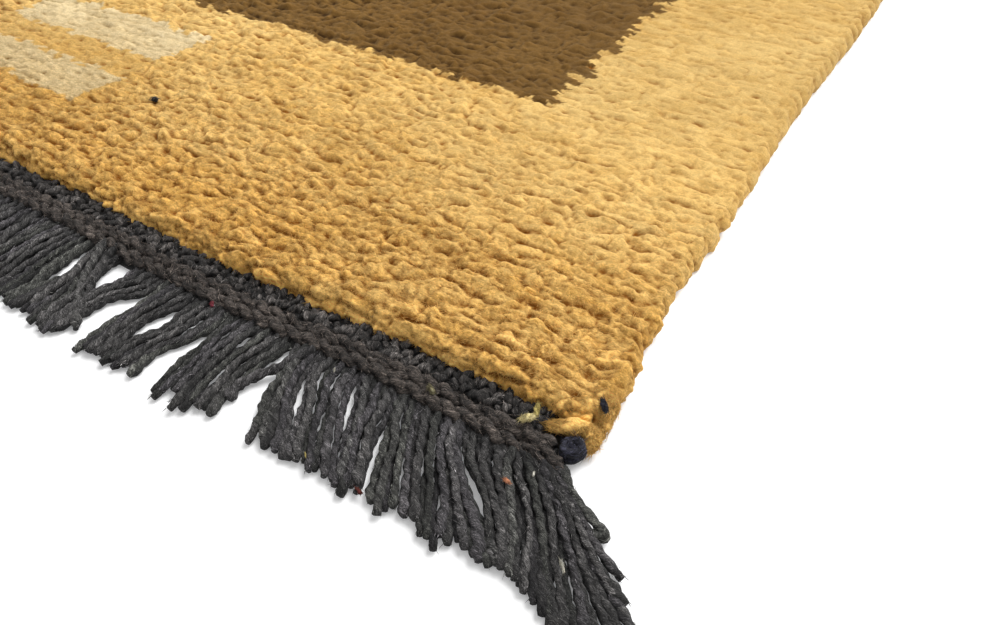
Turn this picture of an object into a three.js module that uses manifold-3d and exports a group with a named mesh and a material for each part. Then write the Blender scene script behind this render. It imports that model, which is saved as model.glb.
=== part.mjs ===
// Hand-knotted wool rug lying flat: a thick gold pile with overcast side edges, and at each end a narrow
// charcoal band, two twined cord rows and a warp fringe.
// Millimetres, +Z up. The origin is on the floor under the middle of the rug. +X is to the right along
// the ends, and +Y runs along the rug, away from the front fringe.

import * as THREE from 'three';
import { mergeVertices } from 'three/addons/utils/BufferGeometryUtils.js';
import Module from 'manifold-3d';

// The rug
const RUG_WIDTH = 600;
const RUG_LENGTH = 900; // over the cord rows, without the fringe
const PIECE_GAP = 0.3;

// The pile, with a groove between its weft rows
const PILE_HEIGHT = 9;
const PILE_END_HEIGHT = 4; // at the ends of the blank, which are cut off along the end wave
const PILE_END_BLANK = 4; // how far the blank runs past the pile's end
const PILE_END_CUT_MARGIN = 20; // the cutting outline stands this far past the sides and the top
const PILE_SIDE_HEIGHT = 8.2; // where the pile meets the selvedge
const PILE_ROWS = 76;
const GROOVE_DEPTH = 1;
const GROOVE_UNEVENNESS = 0.45;
const LUMP_LENGTH = 64; // along a row
const UNEVEN_PHASE = 2.4; // radians from one row or strand to the next

// The selvedge, overcast with one lump of yarn for each pile row
const SELVEDGE_WIDTH = 7;
const SELVEDGE_HEIGHT = 8.4;
const SELVEDGE_LUMP = 0.5;
const SELVEDGE_SHOULDER = 2.6; // the top turns down this far in from the outside
const SELVEDGE_WIDEST_HEIGHT = 3.6;
const SELVEDGE_UNDERCUT = 1.2;
const SELVEDGE_FOOT_WIDTH = 14; // its last turns reach in here at the end of the band
const SELVEDGE_FOOT_END_HEIGHT = 5.6;
const SELVEDGE_FOOT_HEIGHT = 7.4; // where the foot meets the pile

// The flat-woven end band, with three rows of stitches
const END_BAND_WIDTH = 7.7;
const END_BAND_HEIGHT = 4.2;
const END_BAND_STITCH_DEPTH = 0.6;
const END_BAND_ROWS = 3;

// The twined cord rows, which hold the roots of the fringe
const CORD_ROWS_WIDTH = 8.9;
const CORD_TOP = [
  { inwards: 1, height: 3.3 },
  { inwards: 0.75, height: 5 },
  { inwards: 0.5, height: 4.1 },
  { inwards: 0.25, height: 5 },
  { inwards: 0, height: 3.3 },
]; // inwards is the share of the width from the outer side
const CORD_OVERRUN = 1.75; // the outer side runs on this far past the middle of the knob
const CORD_SKEW = 7.4; // the inner side ends this much before the outer one, beside the knob

// The knob in which the cord is turned in at each corner
const KNOB_RADIUS = 3.8;
const KNOB_SIDES = 10;
const KNOB_INSET = 2.55;
const KNOB_DROP = 0.4; // its middle lies this far outside the inner side of the cord rows
const KNOB_PROFILE = [
  { outwards: 0, height: 0 },
  { outwards: 0.82, height: 0 },
  { outwards: 1, height: 1.8 },
  { outwards: 1, height: 4.4 },
  { outwards: 0.74, height: 6.3 },
  { outwards: 0.4, height: 6.5 },
  { outwards: 0, height: 5.2 },
]; // outwards is the share of the radius

// The fringe
const STRANDS = 150; // at each end
const STRAND_WIDTH = 2.4;
const STRAND_HEIGHT = 2.4;
const STRAND_ROOT_DEPTH = 2.5; // inside the cord rows
const STRAND_BEND = 0.3; // share of the reach at which a strand turns to its lean
const STRAND_INSET = 2; // first strand, in from the cord's end
const STRAND_RAGGEDNESS = 1.2;

// How far the right side edge stands out, by distance from the front cord's outer edge
const SIDE_WAVE = [
  { along: 0, out: 4.6 },
  { along: 16, out: 5.4 },
  { along: 32, out: 3.8 },
  { along: 52, out: 0.8 },
  { along: 76, out: -0.6 },
  { along: 124, out: 0.3 },
  { along: 205, out: -1.6 },
  { along: 325, out: 1.0 },
  { along: 480, out: -0.9 },
  { along: 640, out: 0.8 },
  { along: 790, out: -0.6 },
  { along: 900, out: 0.4 },
];

// How far the front end waves in towards the rug, by distance from the right side edge. The distances are
// symmetric about the middle, because the back end is the front end turned half a turn.
const END_WAVE = [
  { along: 0, inwards: 0.1 },
  { along: 60, inwards: 0.4 },
  { along: 120, inwards: -1.2 },
  { along: 200, inwards: 0.4 },
  { along: 300, inwards: 2.0 },
  { along: 400, inwards: -0.6 },
  { along: 480, inwards: -1.1 },
  { along: 540, inwards: 0.6 },
  { along: 600, inwards: 0 },
];

// The front fringe lies in bunches, listed from the right corner. sweep is how far the tips lie to the
// right of their roots at the bunch's right and left side, gather is the share by which the tips draw
// together, and reach is how far they come out.
const FRINGE_BUNCHES = [
  { until: 16, sweepRight: 36, sweepLeft: 27, gather: 0, reachRight: 33, reachLeft: 35 },
  { until: 44, sweepRight: 26, sweepLeft: 14, gather: 0, reachRight: 31, reachLeft: 28 },
  { until: 83, sweepRight: 14, sweepLeft: 10, gather: 0, reachRight: 28, reachLeft: 29 },
  { until: 108, sweepRight: 0, sweepLeft: 1, gather: 0.08, reachRight: 29, reachLeft: 30 },
  { until: 136, sweepRight: -3, sweepLeft: 0, gather: 0.08, reachRight: 27, reachLeft: 30 },
  { until: 170, sweepRight: -1, sweepLeft: 0, gather: 0.3, reachRight: 28, reachLeft: 30 },
  { until: 201, sweepRight: 4, sweepLeft: 11, gather: 0.08, reachRight: 29, reachLeft: 30 },
  { until: 235, sweepRight: 2, sweepLeft: -4, gather: 0.15, reachRight: 30, reachLeft: 29 },
  { until: 266, sweepRight: -5, sweepLeft: -5, gather: 0.12, reachRight: 28, reachLeft: 31 },
  { until: 305, sweepRight: -3, sweepLeft: -5, gather: 0.14, reachRight: 30, reachLeft: 28 },
  { until: 338, sweepRight: -6, sweepLeft: -6, gather: 0.12, reachRight: 29, reachLeft: 30 },
  { until: 376, sweepRight: -4, sweepLeft: -5, gather: 0.15, reachRight: 31, reachLeft: 29 },
  { until: 407, sweepRight: -6, sweepLeft: -6, gather: 0.1, reachRight: 28, reachLeft: 30 },
  { until: 445, sweepRight: -5, sweepLeft: -6, gather: 0.14, reachRight: 30, reachLeft: 28 },
  { until: 478, sweepRight: -7, sweepLeft: -7, gather: 0.12, reachRight: 29, reachLeft: 30 },
  { until: 516, sweepRight: -6, sweepLeft: -7, gather: 0.14, reachRight: 30, reachLeft: 29 },
  { until: 550, sweepRight: -8, sweepLeft: -8, gather: 0.12, reachRight: 29, reachLeft: 30 },
  { until: 604, sweepRight: -8, sweepLeft: -10, gather: 0.08, reachRight: 30, reachLeft: 31 },
];

const GOLD_WOOL = { color: 0xc9a061, roughness: 0.95, metalness: 0 };
const CHARCOAL_WOOL = { color: 0x3e3a37, roughness: 0.95, metalness: 0 };

const HALF_WIDTH = RUG_WIDTH / 2;
const HALF_LENGTH = RUG_LENGTH / 2;
const CORD_IN_Y = -HALF_LENGTH + CORD_ROWS_WIDTH;
const BAND_OUT_Y = CORD_IN_Y + PIECE_GAP;
const BAND_IN_Y = BAND_OUT_Y + END_BAND_WIDTH;
const PILE_END_Y = BAND_IN_Y + PIECE_GAP;
const ROW_PITCH = (-2 * PILE_END_Y) / PILE_ROWS;

// The table rows on both sides of a distance, and the share of the way from the first to the second
function rowsAround(table, along) {
  const found = table.findIndex((row) => row.along >= along);
  const next = found < 0 ? table.length - 1 : Math.max(found, 1);
  const low = table[next - 1];
  const high = table[next];
  const share = (along - low.along) / (high.along - low.along);
  return { low, high, share: THREE.MathUtils.clamp(share, 0, 1) };
}

function rightEdge(y) {
  const { low, high, share } = rowsAround(SIDE_WAVE, y + HALF_LENGTH);
  return HALF_WIDTH + low.out + (high.out - low.out) * THREE.MathUtils.smoothstep(share, 0, 1);
}

// The left edge is the right edge turned half a turn about the middle of the rug
function leftEdge(y) {
  return -rightEdge(-y);
}

function frontWave(x) {
  const { low, high, share } = rowsAround(END_WAVE, HALF_WIDTH - x);
  return THREE.MathUtils.lerp(low.inwards, high.inwards, share);
}

// Every piece that crosses the rug bends where the end wave does, so that the gaps between them are even
const INNER_STATIONS = END_WAVE.slice(1, -1).map((row) => HALF_WIDTH - row.along).reverse();

function stationsAcross(span, y) {
  return [span.left(y), ...INNER_STATIONS, span.right(y)];
}

// The cloth lies between the overcast edges
const CLOTH_SPAN = {
  left: (y) => leftEdge(y) + SELVEDGE_WIDTH + PIECE_GAP,
  right: (y) => rightEdge(y) - SELVEDGE_WIDTH - PIECE_GAP,
};

// The band lies between the wider feet of the edges
const BAND_SPAN = {
  left: (y) => leftEdge(y) + SELVEDGE_FOOT_WIDTH + PIECE_GAP,
  right: (y) => rightEdge(y) - SELVEDGE_FOOT_WIDTH - PIECE_GAP,
};

// Joins rings of points into one closed body with a fan at each end. Each ring turns anticlockwise seen
// from the far end, and is star-shaped seen from its first point.
function loft(rings) {
  const count = rings[0].length;
  const positions = rings.flat().flatMap((point) => point.toArray());
  const indices = [];
  for (let ring = 0; ring + 1 < rings.length; ring += 1) {
    for (let k = 0; k < count; k += 1) {
      const near = ring * count + k;
      const nearNext = ring * count + ((k + 1) % count);
      const far = near + count;
      const farNext = nearNext + count;
      indices.push(near, nearNext, farNext, near, farNext, far);
    }
  }
  const lastRing = (rings.length - 1) * count;
  for (let k = 1; k + 1 < count; k += 1) {
    indices.push(0, k + 1, k);
    indices.push(lastRing, lastRing + k, lastRing + k + 1);
  }
  const geometry = new THREE.BufferGeometry();
  geometry.setAttribute('position', new THREE.Float32BufferAttribute(positions, 3));
  geometry.setIndex(indices);
  geometry.computeVertexNormals();
  return geometry;
}

const wasm = await Module();
wasm.setup();

function toSolid(geometry) {
  const bare = geometry.clone();
  bare.deleteAttribute('normal');
  bare.deleteAttribute('uv');
  const merged = mergeVertices(bare);
  return new wasm.Manifold(new wasm.Mesh({
    numProp: 3,
    vertProperties: Float32Array.from(merged.attributes.position.array),
    triVerts: Uint32Array.from(merged.index.array),
  }));
}

function toGeometry(solid) {
  const mesh = solid.getMesh();
  const geometry = new THREE.BufferGeometry();
  geometry.setAttribute('position', new THREE.BufferAttribute(mesh.vertProperties, 3));
  geometry.setIndex(new THREE.BufferAttribute(mesh.triVerts, 1));
  geometry.computeVertexNormals();
  return geometry;
}

function fuse(geometries) {
  const solids = geometries.map(toSolid);
  return toGeometry(solids.reduce((joined, solid) => joined.add(solid)));
}

// Pile: one flat slab. Its rings cross the rug at the bottom of each groove and the top of each row.
function pileTop(x, row) {
  const lump = Math.sin(x / LUMP_LENGTH + row * UNEVEN_PHASE);
  return PILE_HEIGHT - GROOVE_UNEVENNESS * (0.5 + 0.5 * lump);
}

function grooveBottom(x, row) {
  const lump = Math.sin(x / LUMP_LENGTH - row * UNEVEN_PHASE);
  return PILE_HEIGHT - GROOVE_DEPTH - GROOVE_UNEVENNESS * lump;
}

function pileRing(y, heightAt) {
  const stations = stationsAcross(CLOTH_SPAN, y);
  const last = stations.length - 1;
  const ring = [new THREE.Vector3(stations[last], y, 0), new THREE.Vector3(stations[0], y, 0)];
  stations.forEach((x, station) => {
    const isSide = station === 0 || station === last;
    const height = heightAt(x);
    ring.push(new THREE.Vector3(x, y, isSide ? Math.min(height, PILE_SIDE_HEIGHT) : height));
  });
  return ring;
}

// The outline to which the pile's blank ends are cut: waved along both ends, and clear of the sides
function pileEndOutline() {
  const halfWidth = HALF_WIDTH + PILE_END_CUT_MARGIN;
  const front = [-halfWidth, ...INNER_STATIONS, halfWidth].map((x) => (
    new THREE.Vector2(x, PILE_END_Y + frontWave(x))
  ));
  const back = front.map((point) => point.clone().negate());
  const depth = PILE_HEIGHT + 2 * PILE_END_CUT_MARGIN;
  const outline = new THREE.Shape([...front, ...back]);
  const prism = new THREE.ExtrudeGeometry(outline, { depth, bevelEnabled: false });
  return prism.translate(0, 0, -PILE_END_CUT_MARGIN);
}

function pileBody() {
  const blankY = PILE_END_Y - PILE_END_BLANK;
  const rings = [pileRing(blankY, () => PILE_END_HEIGHT)];
  for (let row = 0; row < PILE_ROWS; row += 1) {
    const grooveY = PILE_END_Y + row * ROW_PITCH;
    if (row > 0) {
      rings.push(pileRing(grooveY, (x) => grooveBottom(x, row)));
    }
    rings.push(pileRing(grooveY + ROW_PITCH / 2, (x) => pileTop(x, row)));
  }
  rings.push(pileRing(-blankY, () => PILE_END_HEIGHT));
  return toGeometry(toSolid(loft(rings)).intersect(toSolid(pileEndOutline())));
}

// Each knob lies in the corner between a cord's end and a selvedge
const KNOB_Y = CORD_IN_Y - KNOB_DROP;
const KNOB_RIGHT_X = rightEdge(KNOB_Y) - KNOB_INSET - KNOB_RADIUS;
const KNOB_LEFT_X = leftEdge(KNOB_Y) + KNOB_INSET + KNOB_RADIUS;

// Selvedge: a rounded strip along the right side edge, with a lump for each turn of the yarn, and a wider
// and lower foot at each end
function selvedgeRing({ y, lump, width, top }) {
  const out = rightEdge(y) - SELVEDGE_LUMP + lump;
  const inner = rightEdge(y) - width;
  return [
    new THREE.Vector3(inner, y, 0),
    new THREE.Vector3(inner, y, top),
    new THREE.Vector3(out - SELVEDGE_SHOULDER, y, top),
    new THREE.Vector3(out, y, SELVEDGE_WIDEST_HEIGHT),
    new THREE.Vector3(out - SELVEDGE_UNDERCUT, y, 0),
  ];
}

function selvedge() {
  const knobTopY = KNOB_Y + frontWave(KNOB_RIGHT_X) + KNOB_RADIUS;
  const foot = [
    { y: knobTopY + PIECE_GAP, lump: 0, width: SELVEDGE_FOOT_WIDTH, top: SELVEDGE_FOOT_END_HEIGHT },
    { y: BAND_IN_Y - PIECE_GAP, lump: 0, width: SELVEDGE_FOOT_WIDTH, top: SELVEDGE_FOOT_HEIGHT },
  ];
  const backFoot = foot.map((place) => ({ ...place, y: -place.y })).reverse();
  const turns = [];
  const steps = 2 * PILE_ROWS;
  for (let step = 0; step <= steps; step += 1) {
    const y = BAND_IN_Y + (-2 * BAND_IN_Y * step) / steps;
    const lump = step % 2 === 0 ? 0 : SELVEDGE_LUMP;
    turns.push({ y, lump, width: SELVEDGE_WIDTH, top: SELVEDGE_HEIGHT - SELVEDGE_LUMP + lump });
  }
  return loft([...foot, ...turns, ...backFoot].map(selvedgeRing));
}

// A strip across the front end. Its section goes from the bottom outer corner along the floor to the
// bottom inner corner and back over the top.
function endStrip(section, span) {
  const ringAt = (station) => section.map(({ y, z }) => {
    const x = stationsAcross(span, y)[station];
    return new THREE.Vector3(x, y + frontWave(x), z);
  });
  return loft(END_WAVE.map((row, station) => ringAt(station)));
}

function endBand() {
  const section = [{ y: BAND_OUT_Y, z: 0 }, { y: BAND_IN_Y, z: 0 }];
  for (let half = 2 * END_BAND_ROWS; half >= 0; half -= 1) {
    const isRidge = half % 2 === 1;
    section.push({
      y: BAND_OUT_Y + (END_BAND_WIDTH * half) / (2 * END_BAND_ROWS),
      z: isRidge ? END_BAND_HEIGHT : END_BAND_HEIGHT - END_BAND_STITCH_DEPTH,
    });
  }
  return endStrip(section, BAND_SPAN);
}

// The cord rows run past the knobs on the outer side
const CORD_LEFT_X = KNOB_LEFT_X - CORD_OVERRUN;
const CORD_RIGHT_X = KNOB_RIGHT_X + CORD_OVERRUN;

function cordSkew(y) {
  return (CORD_SKEW * (y + HALF_LENGTH)) / CORD_ROWS_WIDTH;
}

const CORD_SPAN = {
  left: (y) => CORD_LEFT_X + cordSkew(y),
  right: (y) => CORD_RIGHT_X - cordSkew(y),
};

function cordRows() {
  const top = CORD_TOP.map((row) => ({ y: -HALF_LENGTH + CORD_ROWS_WIDTH * row.inwards, z: row.height }));
  return endStrip([{ y: -HALF_LENGTH, z: 0 }, { y: CORD_IN_Y, z: 0 }, ...top], CORD_SPAN);
}

// One strand: from inside the cord rows straight out to its bend, then on at its lean to the tip
function strandRing(centre, direction) {
  const side = new THREE.Vector3(-direction.y, direction.x, 0).normalize();
  const corner = (sideways, z) => centre.clone().addScaledVector(side, sideways).setZ(z);
  return [corner(-STRAND_WIDTH / 2, 0), corner(STRAND_WIDTH / 2, 0), corner(0, STRAND_HEIGHT)];
}

function strand(rootX, tipShift, reach) {
  const wallY = -HALF_LENGTH + frontWave(rootX);
  const root = new THREE.Vector3(rootX, wallY + STRAND_ROOT_DEPTH, 0);
  const bend = new THREE.Vector3(rootX + tipShift * STRAND_BEND, wallY - reach * STRAND_BEND, 0);
  const tip = new THREE.Vector3(rootX + tipShift, wallY - reach, 0);
  const straightOut = new THREE.Vector3(0, -1, 0);
  const lean = tip.clone().sub(bend);
  return loft([strandRing(root, straightOut), strandRing(bend, lean), strandRing(tip, lean)]);
}

function fringe() {
  const pieces = [cordRows()];
  const rightmost = CORD_RIGHT_X - STRAND_INSET;
  const leftmost = CORD_LEFT_X + STRAND_INSET;
  const pitch = (rightmost - leftmost) / (STRANDS - 1);
  for (let index = 0; index < STRANDS; index += 1) {
    const rootX = rightmost - index * pitch;
    const fromRight = rightmost - rootX;
    const place = FRINGE_BUNCHES.findIndex((row) => row.until > fromRight);
    const bunch = FRINGE_BUNCHES[place];
    const start = place > 0 ? FRINGE_BUNCHES[place - 1].until : 0;
    const share = (fromRight - start) / (bunch.until - start);
    const fromMiddle = (share - 0.5) * (bunch.until - start);
    const sweep = THREE.MathUtils.lerp(bunch.sweepRight, bunch.sweepLeft, share);
    const reach = THREE.MathUtils.lerp(bunch.reachRight, bunch.reachLeft, share);
    const ragged = STRAND_RAGGEDNESS * Math.sin(index * UNEVEN_PHASE);
    pieces.push(strand(rootX, sweep + bunch.gather * fromMiddle, reach + ragged));
  }
  return fuse(pieces);
}

// The knob: a low round coil with a dimple, seated on the floor beside the cord's end
function knob() {
  const profile = KNOB_PROFILE.map((row) => new THREE.Vector2(KNOB_RADIUS * row.outwards, row.height));
  return new THREE.LatheGeometry(profile, KNOB_SIDES).rotateX(Math.PI / 2);
}

function addPiece(parent, name, geometry, finish) {
  const mesh = new THREE.Mesh(geometry, new THREE.MeshStandardMaterial(finish));
  mesh.name = name;
  parent.add(mesh);
  return mesh;
}

// The pieces of the front end and the side edge to its right, which the back end has turned half a turn
function addHalf(rug, end, side, otherSide, shapes) {
  const half = new THREE.Group();
  addPiece(half, `selvedge_${side}`, shapes.selvedge, GOLD_WOOL);
  addPiece(half, `end_band_${end}`, shapes.endBand, CHARCOAL_WOOL);
  addPiece(half, `fringe_${end}`, shapes.fringe, CHARCOAL_WOOL);
  addPiece(half, `cord_end_${end}_${side}`, shapes.knob, CHARCOAL_WOOL)
    .position.set(KNOB_RIGHT_X, KNOB_Y + frontWave(KNOB_RIGHT_X), 0);
  addPiece(half, `cord_end_${end}_${otherSide}`, shapes.knob, CHARCOAL_WOOL)
    .position.set(KNOB_LEFT_X, KNOB_Y + frontWave(KNOB_LEFT_X), 0);
  rug.add(half);
  return half;
}

const rug = new THREE.Group();
addPiece(rug, 'pile_body', pileBody(), GOLD_WOOL);
const shapes = { selvedge: selvedge(), endBand: endBand(), fringe: fringe(), knob: knob() };
addHalf(rug, 'front', 'right', 'left', shapes);
addHalf(rug, 'back', 'left', 'right', shapes).rotation.z = Math.PI;

export default rug;
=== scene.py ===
import math

import bpy
import numpy as np
from mathutils import Matrix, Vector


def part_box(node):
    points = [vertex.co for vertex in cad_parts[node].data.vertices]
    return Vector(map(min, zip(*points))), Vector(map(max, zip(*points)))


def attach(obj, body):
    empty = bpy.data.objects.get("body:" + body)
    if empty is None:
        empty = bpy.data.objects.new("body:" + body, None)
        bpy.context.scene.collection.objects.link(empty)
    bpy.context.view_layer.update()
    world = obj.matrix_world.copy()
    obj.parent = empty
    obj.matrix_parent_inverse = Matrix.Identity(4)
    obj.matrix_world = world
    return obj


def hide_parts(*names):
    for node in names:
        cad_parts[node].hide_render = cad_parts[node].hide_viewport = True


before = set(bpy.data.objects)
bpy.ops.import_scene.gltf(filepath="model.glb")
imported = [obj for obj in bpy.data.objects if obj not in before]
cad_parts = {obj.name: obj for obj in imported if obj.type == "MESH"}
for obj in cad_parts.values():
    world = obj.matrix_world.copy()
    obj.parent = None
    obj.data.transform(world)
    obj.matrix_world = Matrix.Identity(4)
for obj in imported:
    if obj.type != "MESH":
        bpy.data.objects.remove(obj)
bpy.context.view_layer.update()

MM = 0.001
TURN = 2 * math.pi
UP = np.array([0.0, 0.0, 1.0])
# Keeps a cross product with a line that points straight up from being nothing
NUDGE = 0.01


def node_box(node):
    """The lowest and highest corner of a CAD node in millimetres."""
    low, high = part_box(node)
    return np.array(low) / MM, np.array(high) / MM


# The photograph's camera
CAMERA_PLACE = (346.6, -550.6, 157.0)
CAMERA_PITCH = math.radians(42.52)
CAMERA_YAW = math.radians(32.09)
CAMERA_ROLL = math.radians(0.376)
CAMERA_LENS = 28.34
SENSOR_WIDTH = 36
CAMERA_CLIP = 0.01

# Sizes that the construction has, too
HALF_WIDTH = 300
HALF_LENGTH = 450
PIECE_GAP = 0.3
PILE_ROWS = 76
SELVEDGE_WIDTH = 7
SELVEDGE_FOOT_WIDTH = 14
BAND_WIDTH = 7.7
CORD_ROWS_WIDTH = 8.9
CORD_OVERRUN = 1.75
CORD_SKEW = 7.4
STRANDS = 150
STRAND_INSET = 2
STRAND_BEND = 0.3
STRAND_RAGGEDNESS = 1.2
UNEVEN_PHASE = 2.4

# How far the right side edge stands out, by distance from the front cord's outer edge
SIDE_WAVE = (
    (0, 4.6), (16, 5.4), (32, 3.8), (52, 0.8), (76, -0.6), (124, 0.3),
    (205, -1.6), (325, 1.0), (480, -0.9), (640, 0.8), (790, -0.6), (900, 0.4),
)
# How far the front end waves in towards the rug, by distance from the right side edge
END_WAVE = (
    (0, 0.1), (60, 0.4), (120, -1.2), (200, 0.4), (300, 2.0), (400, -0.6), (480, -1.1), (540, 0.6), (600, 0),
)
# The front fringe's bunches from the right corner: where each ends, how far its tips lie to the right of
# their roots at its right and left side, the share by which they draw together, and their reach
FRINGE_BUNCHES = (
    (16, 36, 27, 0, 33, 35), (44, 26, 14, 0, 31, 28), (83, 14, 10, 0, 28, 29),
    (108, 0, 1, 0.08, 29, 30), (136, -3, 0, 0.08, 27, 30), (170, -1, 0, 0.3, 28, 30),
    (201, 4, 11, 0.08, 29, 30), (235, 2, -4, 0.15, 30, 29), (266, -5, -5, 0.12, 28, 31),
    (305, -3, -5, 0.14, 30, 28), (338, -6, -6, 0.12, 29, 30), (376, -4, -5, 0.15, 31, 29),
    (407, -6, -6, 0.1, 28, 30), (445, -5, -6, 0.14, 30, 28), (478, -7, -7, 0.12, 29, 30),
    (516, -6, -7, 0.14, 30, 29), (550, -8, -8, 0.12, 29, 30), (604, -8, -10, 0.08, 30, 31),
)

knob_low, knob_high = node_box("cord_end_front_right")
left_knob_low, left_knob_high = node_box("cord_end_front_left")
PILE_HEIGHT = node_box("pile_body")[1][2]
BAND_HEIGHT = node_box("end_band_front")[1][2]
CORD_IN_Y = CORD_ROWS_WIDTH - HALF_LENGTH
BAND_OUT_Y = CORD_IN_Y + PIECE_GAP
PILE_END_Y = BAND_OUT_Y + BAND_WIDTH + PIECE_GAP
ROW_PITCH = -2 * PILE_END_Y / PILE_ROWS
CORD_RIGHT_X = (knob_low[0] + knob_high[0]) / 2 + CORD_OVERRUN
CORD_LEFT_X = (left_knob_low[0] + left_knob_high[0]) / 2 - CORD_OVERRUN
STRAND_PITCH = (CORD_RIGHT_X - CORD_LEFT_X - 2 * STRAND_INSET) / (STRANDS - 1)
CLOTH_EDGE = HALF_WIDTH - SELVEDGE_WIDTH - PIECE_GAP


def unit(vectors):
    """The vectors at a length of 1."""
    return vectors / np.linalg.norm(vectors, axis=-1, keepdims=True)


def ease(share):
    """A smooth step from 0 to 1."""
    share = np.clip(share, 0, 1)
    return share * share * (3 - 2 * share)


def mix(first, second, share):
    """A value a share of the way from the first to the second."""
    return first + (second - first) * share


def table_value(table, along):
    """The second column of a table at a distance, eased from row to row."""
    stations, values = np.array(table, float).T
    place = np.clip(np.searchsorted(stations, along) - 1, 0, len(stations) - 2)
    share = (along - stations[place]) / (stations[place + 1] - stations[place])
    return mix(values[place], values[place + 1], ease(share))


def graded(start, end, first_step, last_step):
    """Places from start to end, with steps that change evenly from the first size to the last."""
    count = max(2, round(2 * (end - start) / (first_step + last_step)))
    steps = np.linspace(first_step, last_step, count)
    return start + np.concatenate([[0], np.cumsum(steps)]) * (end - start) / steps.sum()


def right_edge(y):
    """The right side edge's x."""
    return HALF_WIDTH + table_value(SIDE_WAVE, y + HALF_LENGTH)


def front_wave(x):
    """How far the front end waves in towards the rug."""
    return table_value(END_WAVE, HALF_WIDTH - x)


# Noise: one lattice of random numbers, read at different places
LATTICE_SIZE = 256
LATTICE = np.random.default_rng(5).random((LATTICE_SIZE, LATTICE_SIZE))
LAYER_STEPS = (57, 113)
NOISE_ORIGIN = 500


def cell_random(column, row, layer):
    """A random number from 0 to 1 for a cell, another one for each layer."""
    row_step, column_step = LAYER_STEPS
    return LATTICE[(row + row_step * layer) % LATTICE_SIZE, (column + column_step * layer) % LATTICE_SIZE]


def stray(column, row, layer):
    """A random number from -1 to 1 for a cell."""
    return 2 * cell_random(column, row, layer) - 1


def noise(x, y, layer):
    """Smooth noise from -1 to 1 with one bump to a unit."""
    x = np.asarray(x, float) + NOISE_ORIGIN
    y = np.asarray(y, float) + NOISE_ORIGIN
    column = np.floor(x).astype(int)
    row = np.floor(y).astype(int)
    right = ease(x - column)
    up = ease(y - row)
    low = mix(cell_random(column, row, layer), cell_random(column + 1, row, layer), right)
    high = mix(cell_random(column, row + 1, layer), cell_random(column + 1, row + 1, layer), right)
    return 2 * mix(low, high, up) - 1


def wandered(value, p, q, waves):
    """A value with some noises added, each with an amount, a width along the rows and across them, and a
    layer."""
    for amount, along, across, layer in waves:
        value = value + amount * noise(p / along, q / across, layer)
    return value


class Shape:
    """The points and faces of one piece, gathered part by part. Each point has a tint, a share by which its
    mesh is too coarse for the tufts, and a place in its yarn's own straight frame for the fibres."""

    def __init__(self):
        self.points = []
        self.faces = []
        self.tints = []
        self.fibres = []
        self.count = 0

    def add(self, points, faces, tint, fibre=None, coarse=0.0):
        points = np.asarray(points, float).reshape(-1, 3)
        tints = np.full((len(points), 4), coarse, float)
        tints[:, :3] = tint
        self.points.append(points)
        self.faces += [face + self.count for face in faces]
        self.tints.append(tints)
        self.fibres.append(points if fibre is None else fibre.reshape(-1, 3))
        self.count += len(points)

    def build(self, name, material, slot, replaced=(), turned=False):
        """Makes the piece, which rides on the rug's only body."""
        loops = np.concatenate([face.ravel() for face in self.faces])
        corners = np.concatenate([np.full(len(face), face.shape[1]) for face in self.faces])
        points = np.concatenate(self.points) * MM
        if turned:
            points = points * (-1, -1, 1)
        mesh = bpy.data.meshes.new(name)
        mesh.vertices.add(self.count)
        mesh.vertices.foreach_set("co", points.ravel())
        mesh.loops.add(len(loops))
        mesh.loops.foreach_set("vertex_index", loops.astype(np.int32))
        mesh.polygons.add(len(corners))
        mesh.polygons.foreach_set("loop_start", (np.cumsum(corners) - corners).astype(np.int32))
        mesh.update(calc_edges=True)
        mesh.validate()
        mesh.shade_smooth()
        tints = np.concatenate(self.tints)
        mesh.attributes.new("tint", "FLOAT_COLOR", "POINT").data.foreach_set("color", tints.ravel())
        fibres = np.concatenate(self.fibres) * MM
        mesh.attributes.new("fibre", "FLOAT_VECTOR", "POINT").data.foreach_set("vector", fibres.ravel())
        mesh.materials.append(material)
        piece = bpy.data.objects.new(name, mesh)
        bpy.context.scene.collection.objects.link(piece)
        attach(piece, "root")
        if replaced:
            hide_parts(*replaced)
        return piece


def quads_between(rings, points, closed):
    """Quads of a net of rings, each joined to the next."""
    index = np.arange(rings * points).reshape(rings, points)
    following = np.roll(index, -1, axis=1)
    if not closed:
        index, following = index[:, :-1], following[:, :-1]
    near, near_next = index[:-1], following[:-1]
    far, far_next = index[1:], following[1:]
    return np.stack([near, near_next, far_next, far], axis=-1).reshape(-1, 4)


def ring_faces(rings, points):
    """The faces of a closed body of rings, with a flat cap at each end."""
    first = np.arange(points)[::-1].reshape(1, -1)
    last = np.arange((rings - 1) * points, rings * points).reshape(1, -1)
    return [quads_between(rings, points, closed=True), first, last]


def slab(top, floor):
    """The points and faces of a closed body under a net of points, down to a level."""
    rows, columns = top.shape[:2]
    index = np.arange(rows * columns).reshape(rows, columns)
    rim = np.concatenate([index[0, :-1], index[:-1, -1], index[-1, :0:-1], index[:0:-1, 0]])
    points = top.reshape(-1, 3)
    foot = points[rim].copy()
    foot[:, 2] = floor
    foot_index = len(points) + np.arange(len(rim))
    walls = np.stack([rim, foot_index, np.roll(foot_index, -1), np.roll(rim, -1)], axis=-1)
    faces = [quads_between(rows, columns, closed=False), walls, foot_index[::-1].reshape(1, -1)]
    return np.concatenate([points, foot]), faces


HAIR_SIDES = 3
HAIR_TAPER = 0.6
HAIR_LOWEST = 0.15


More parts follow.
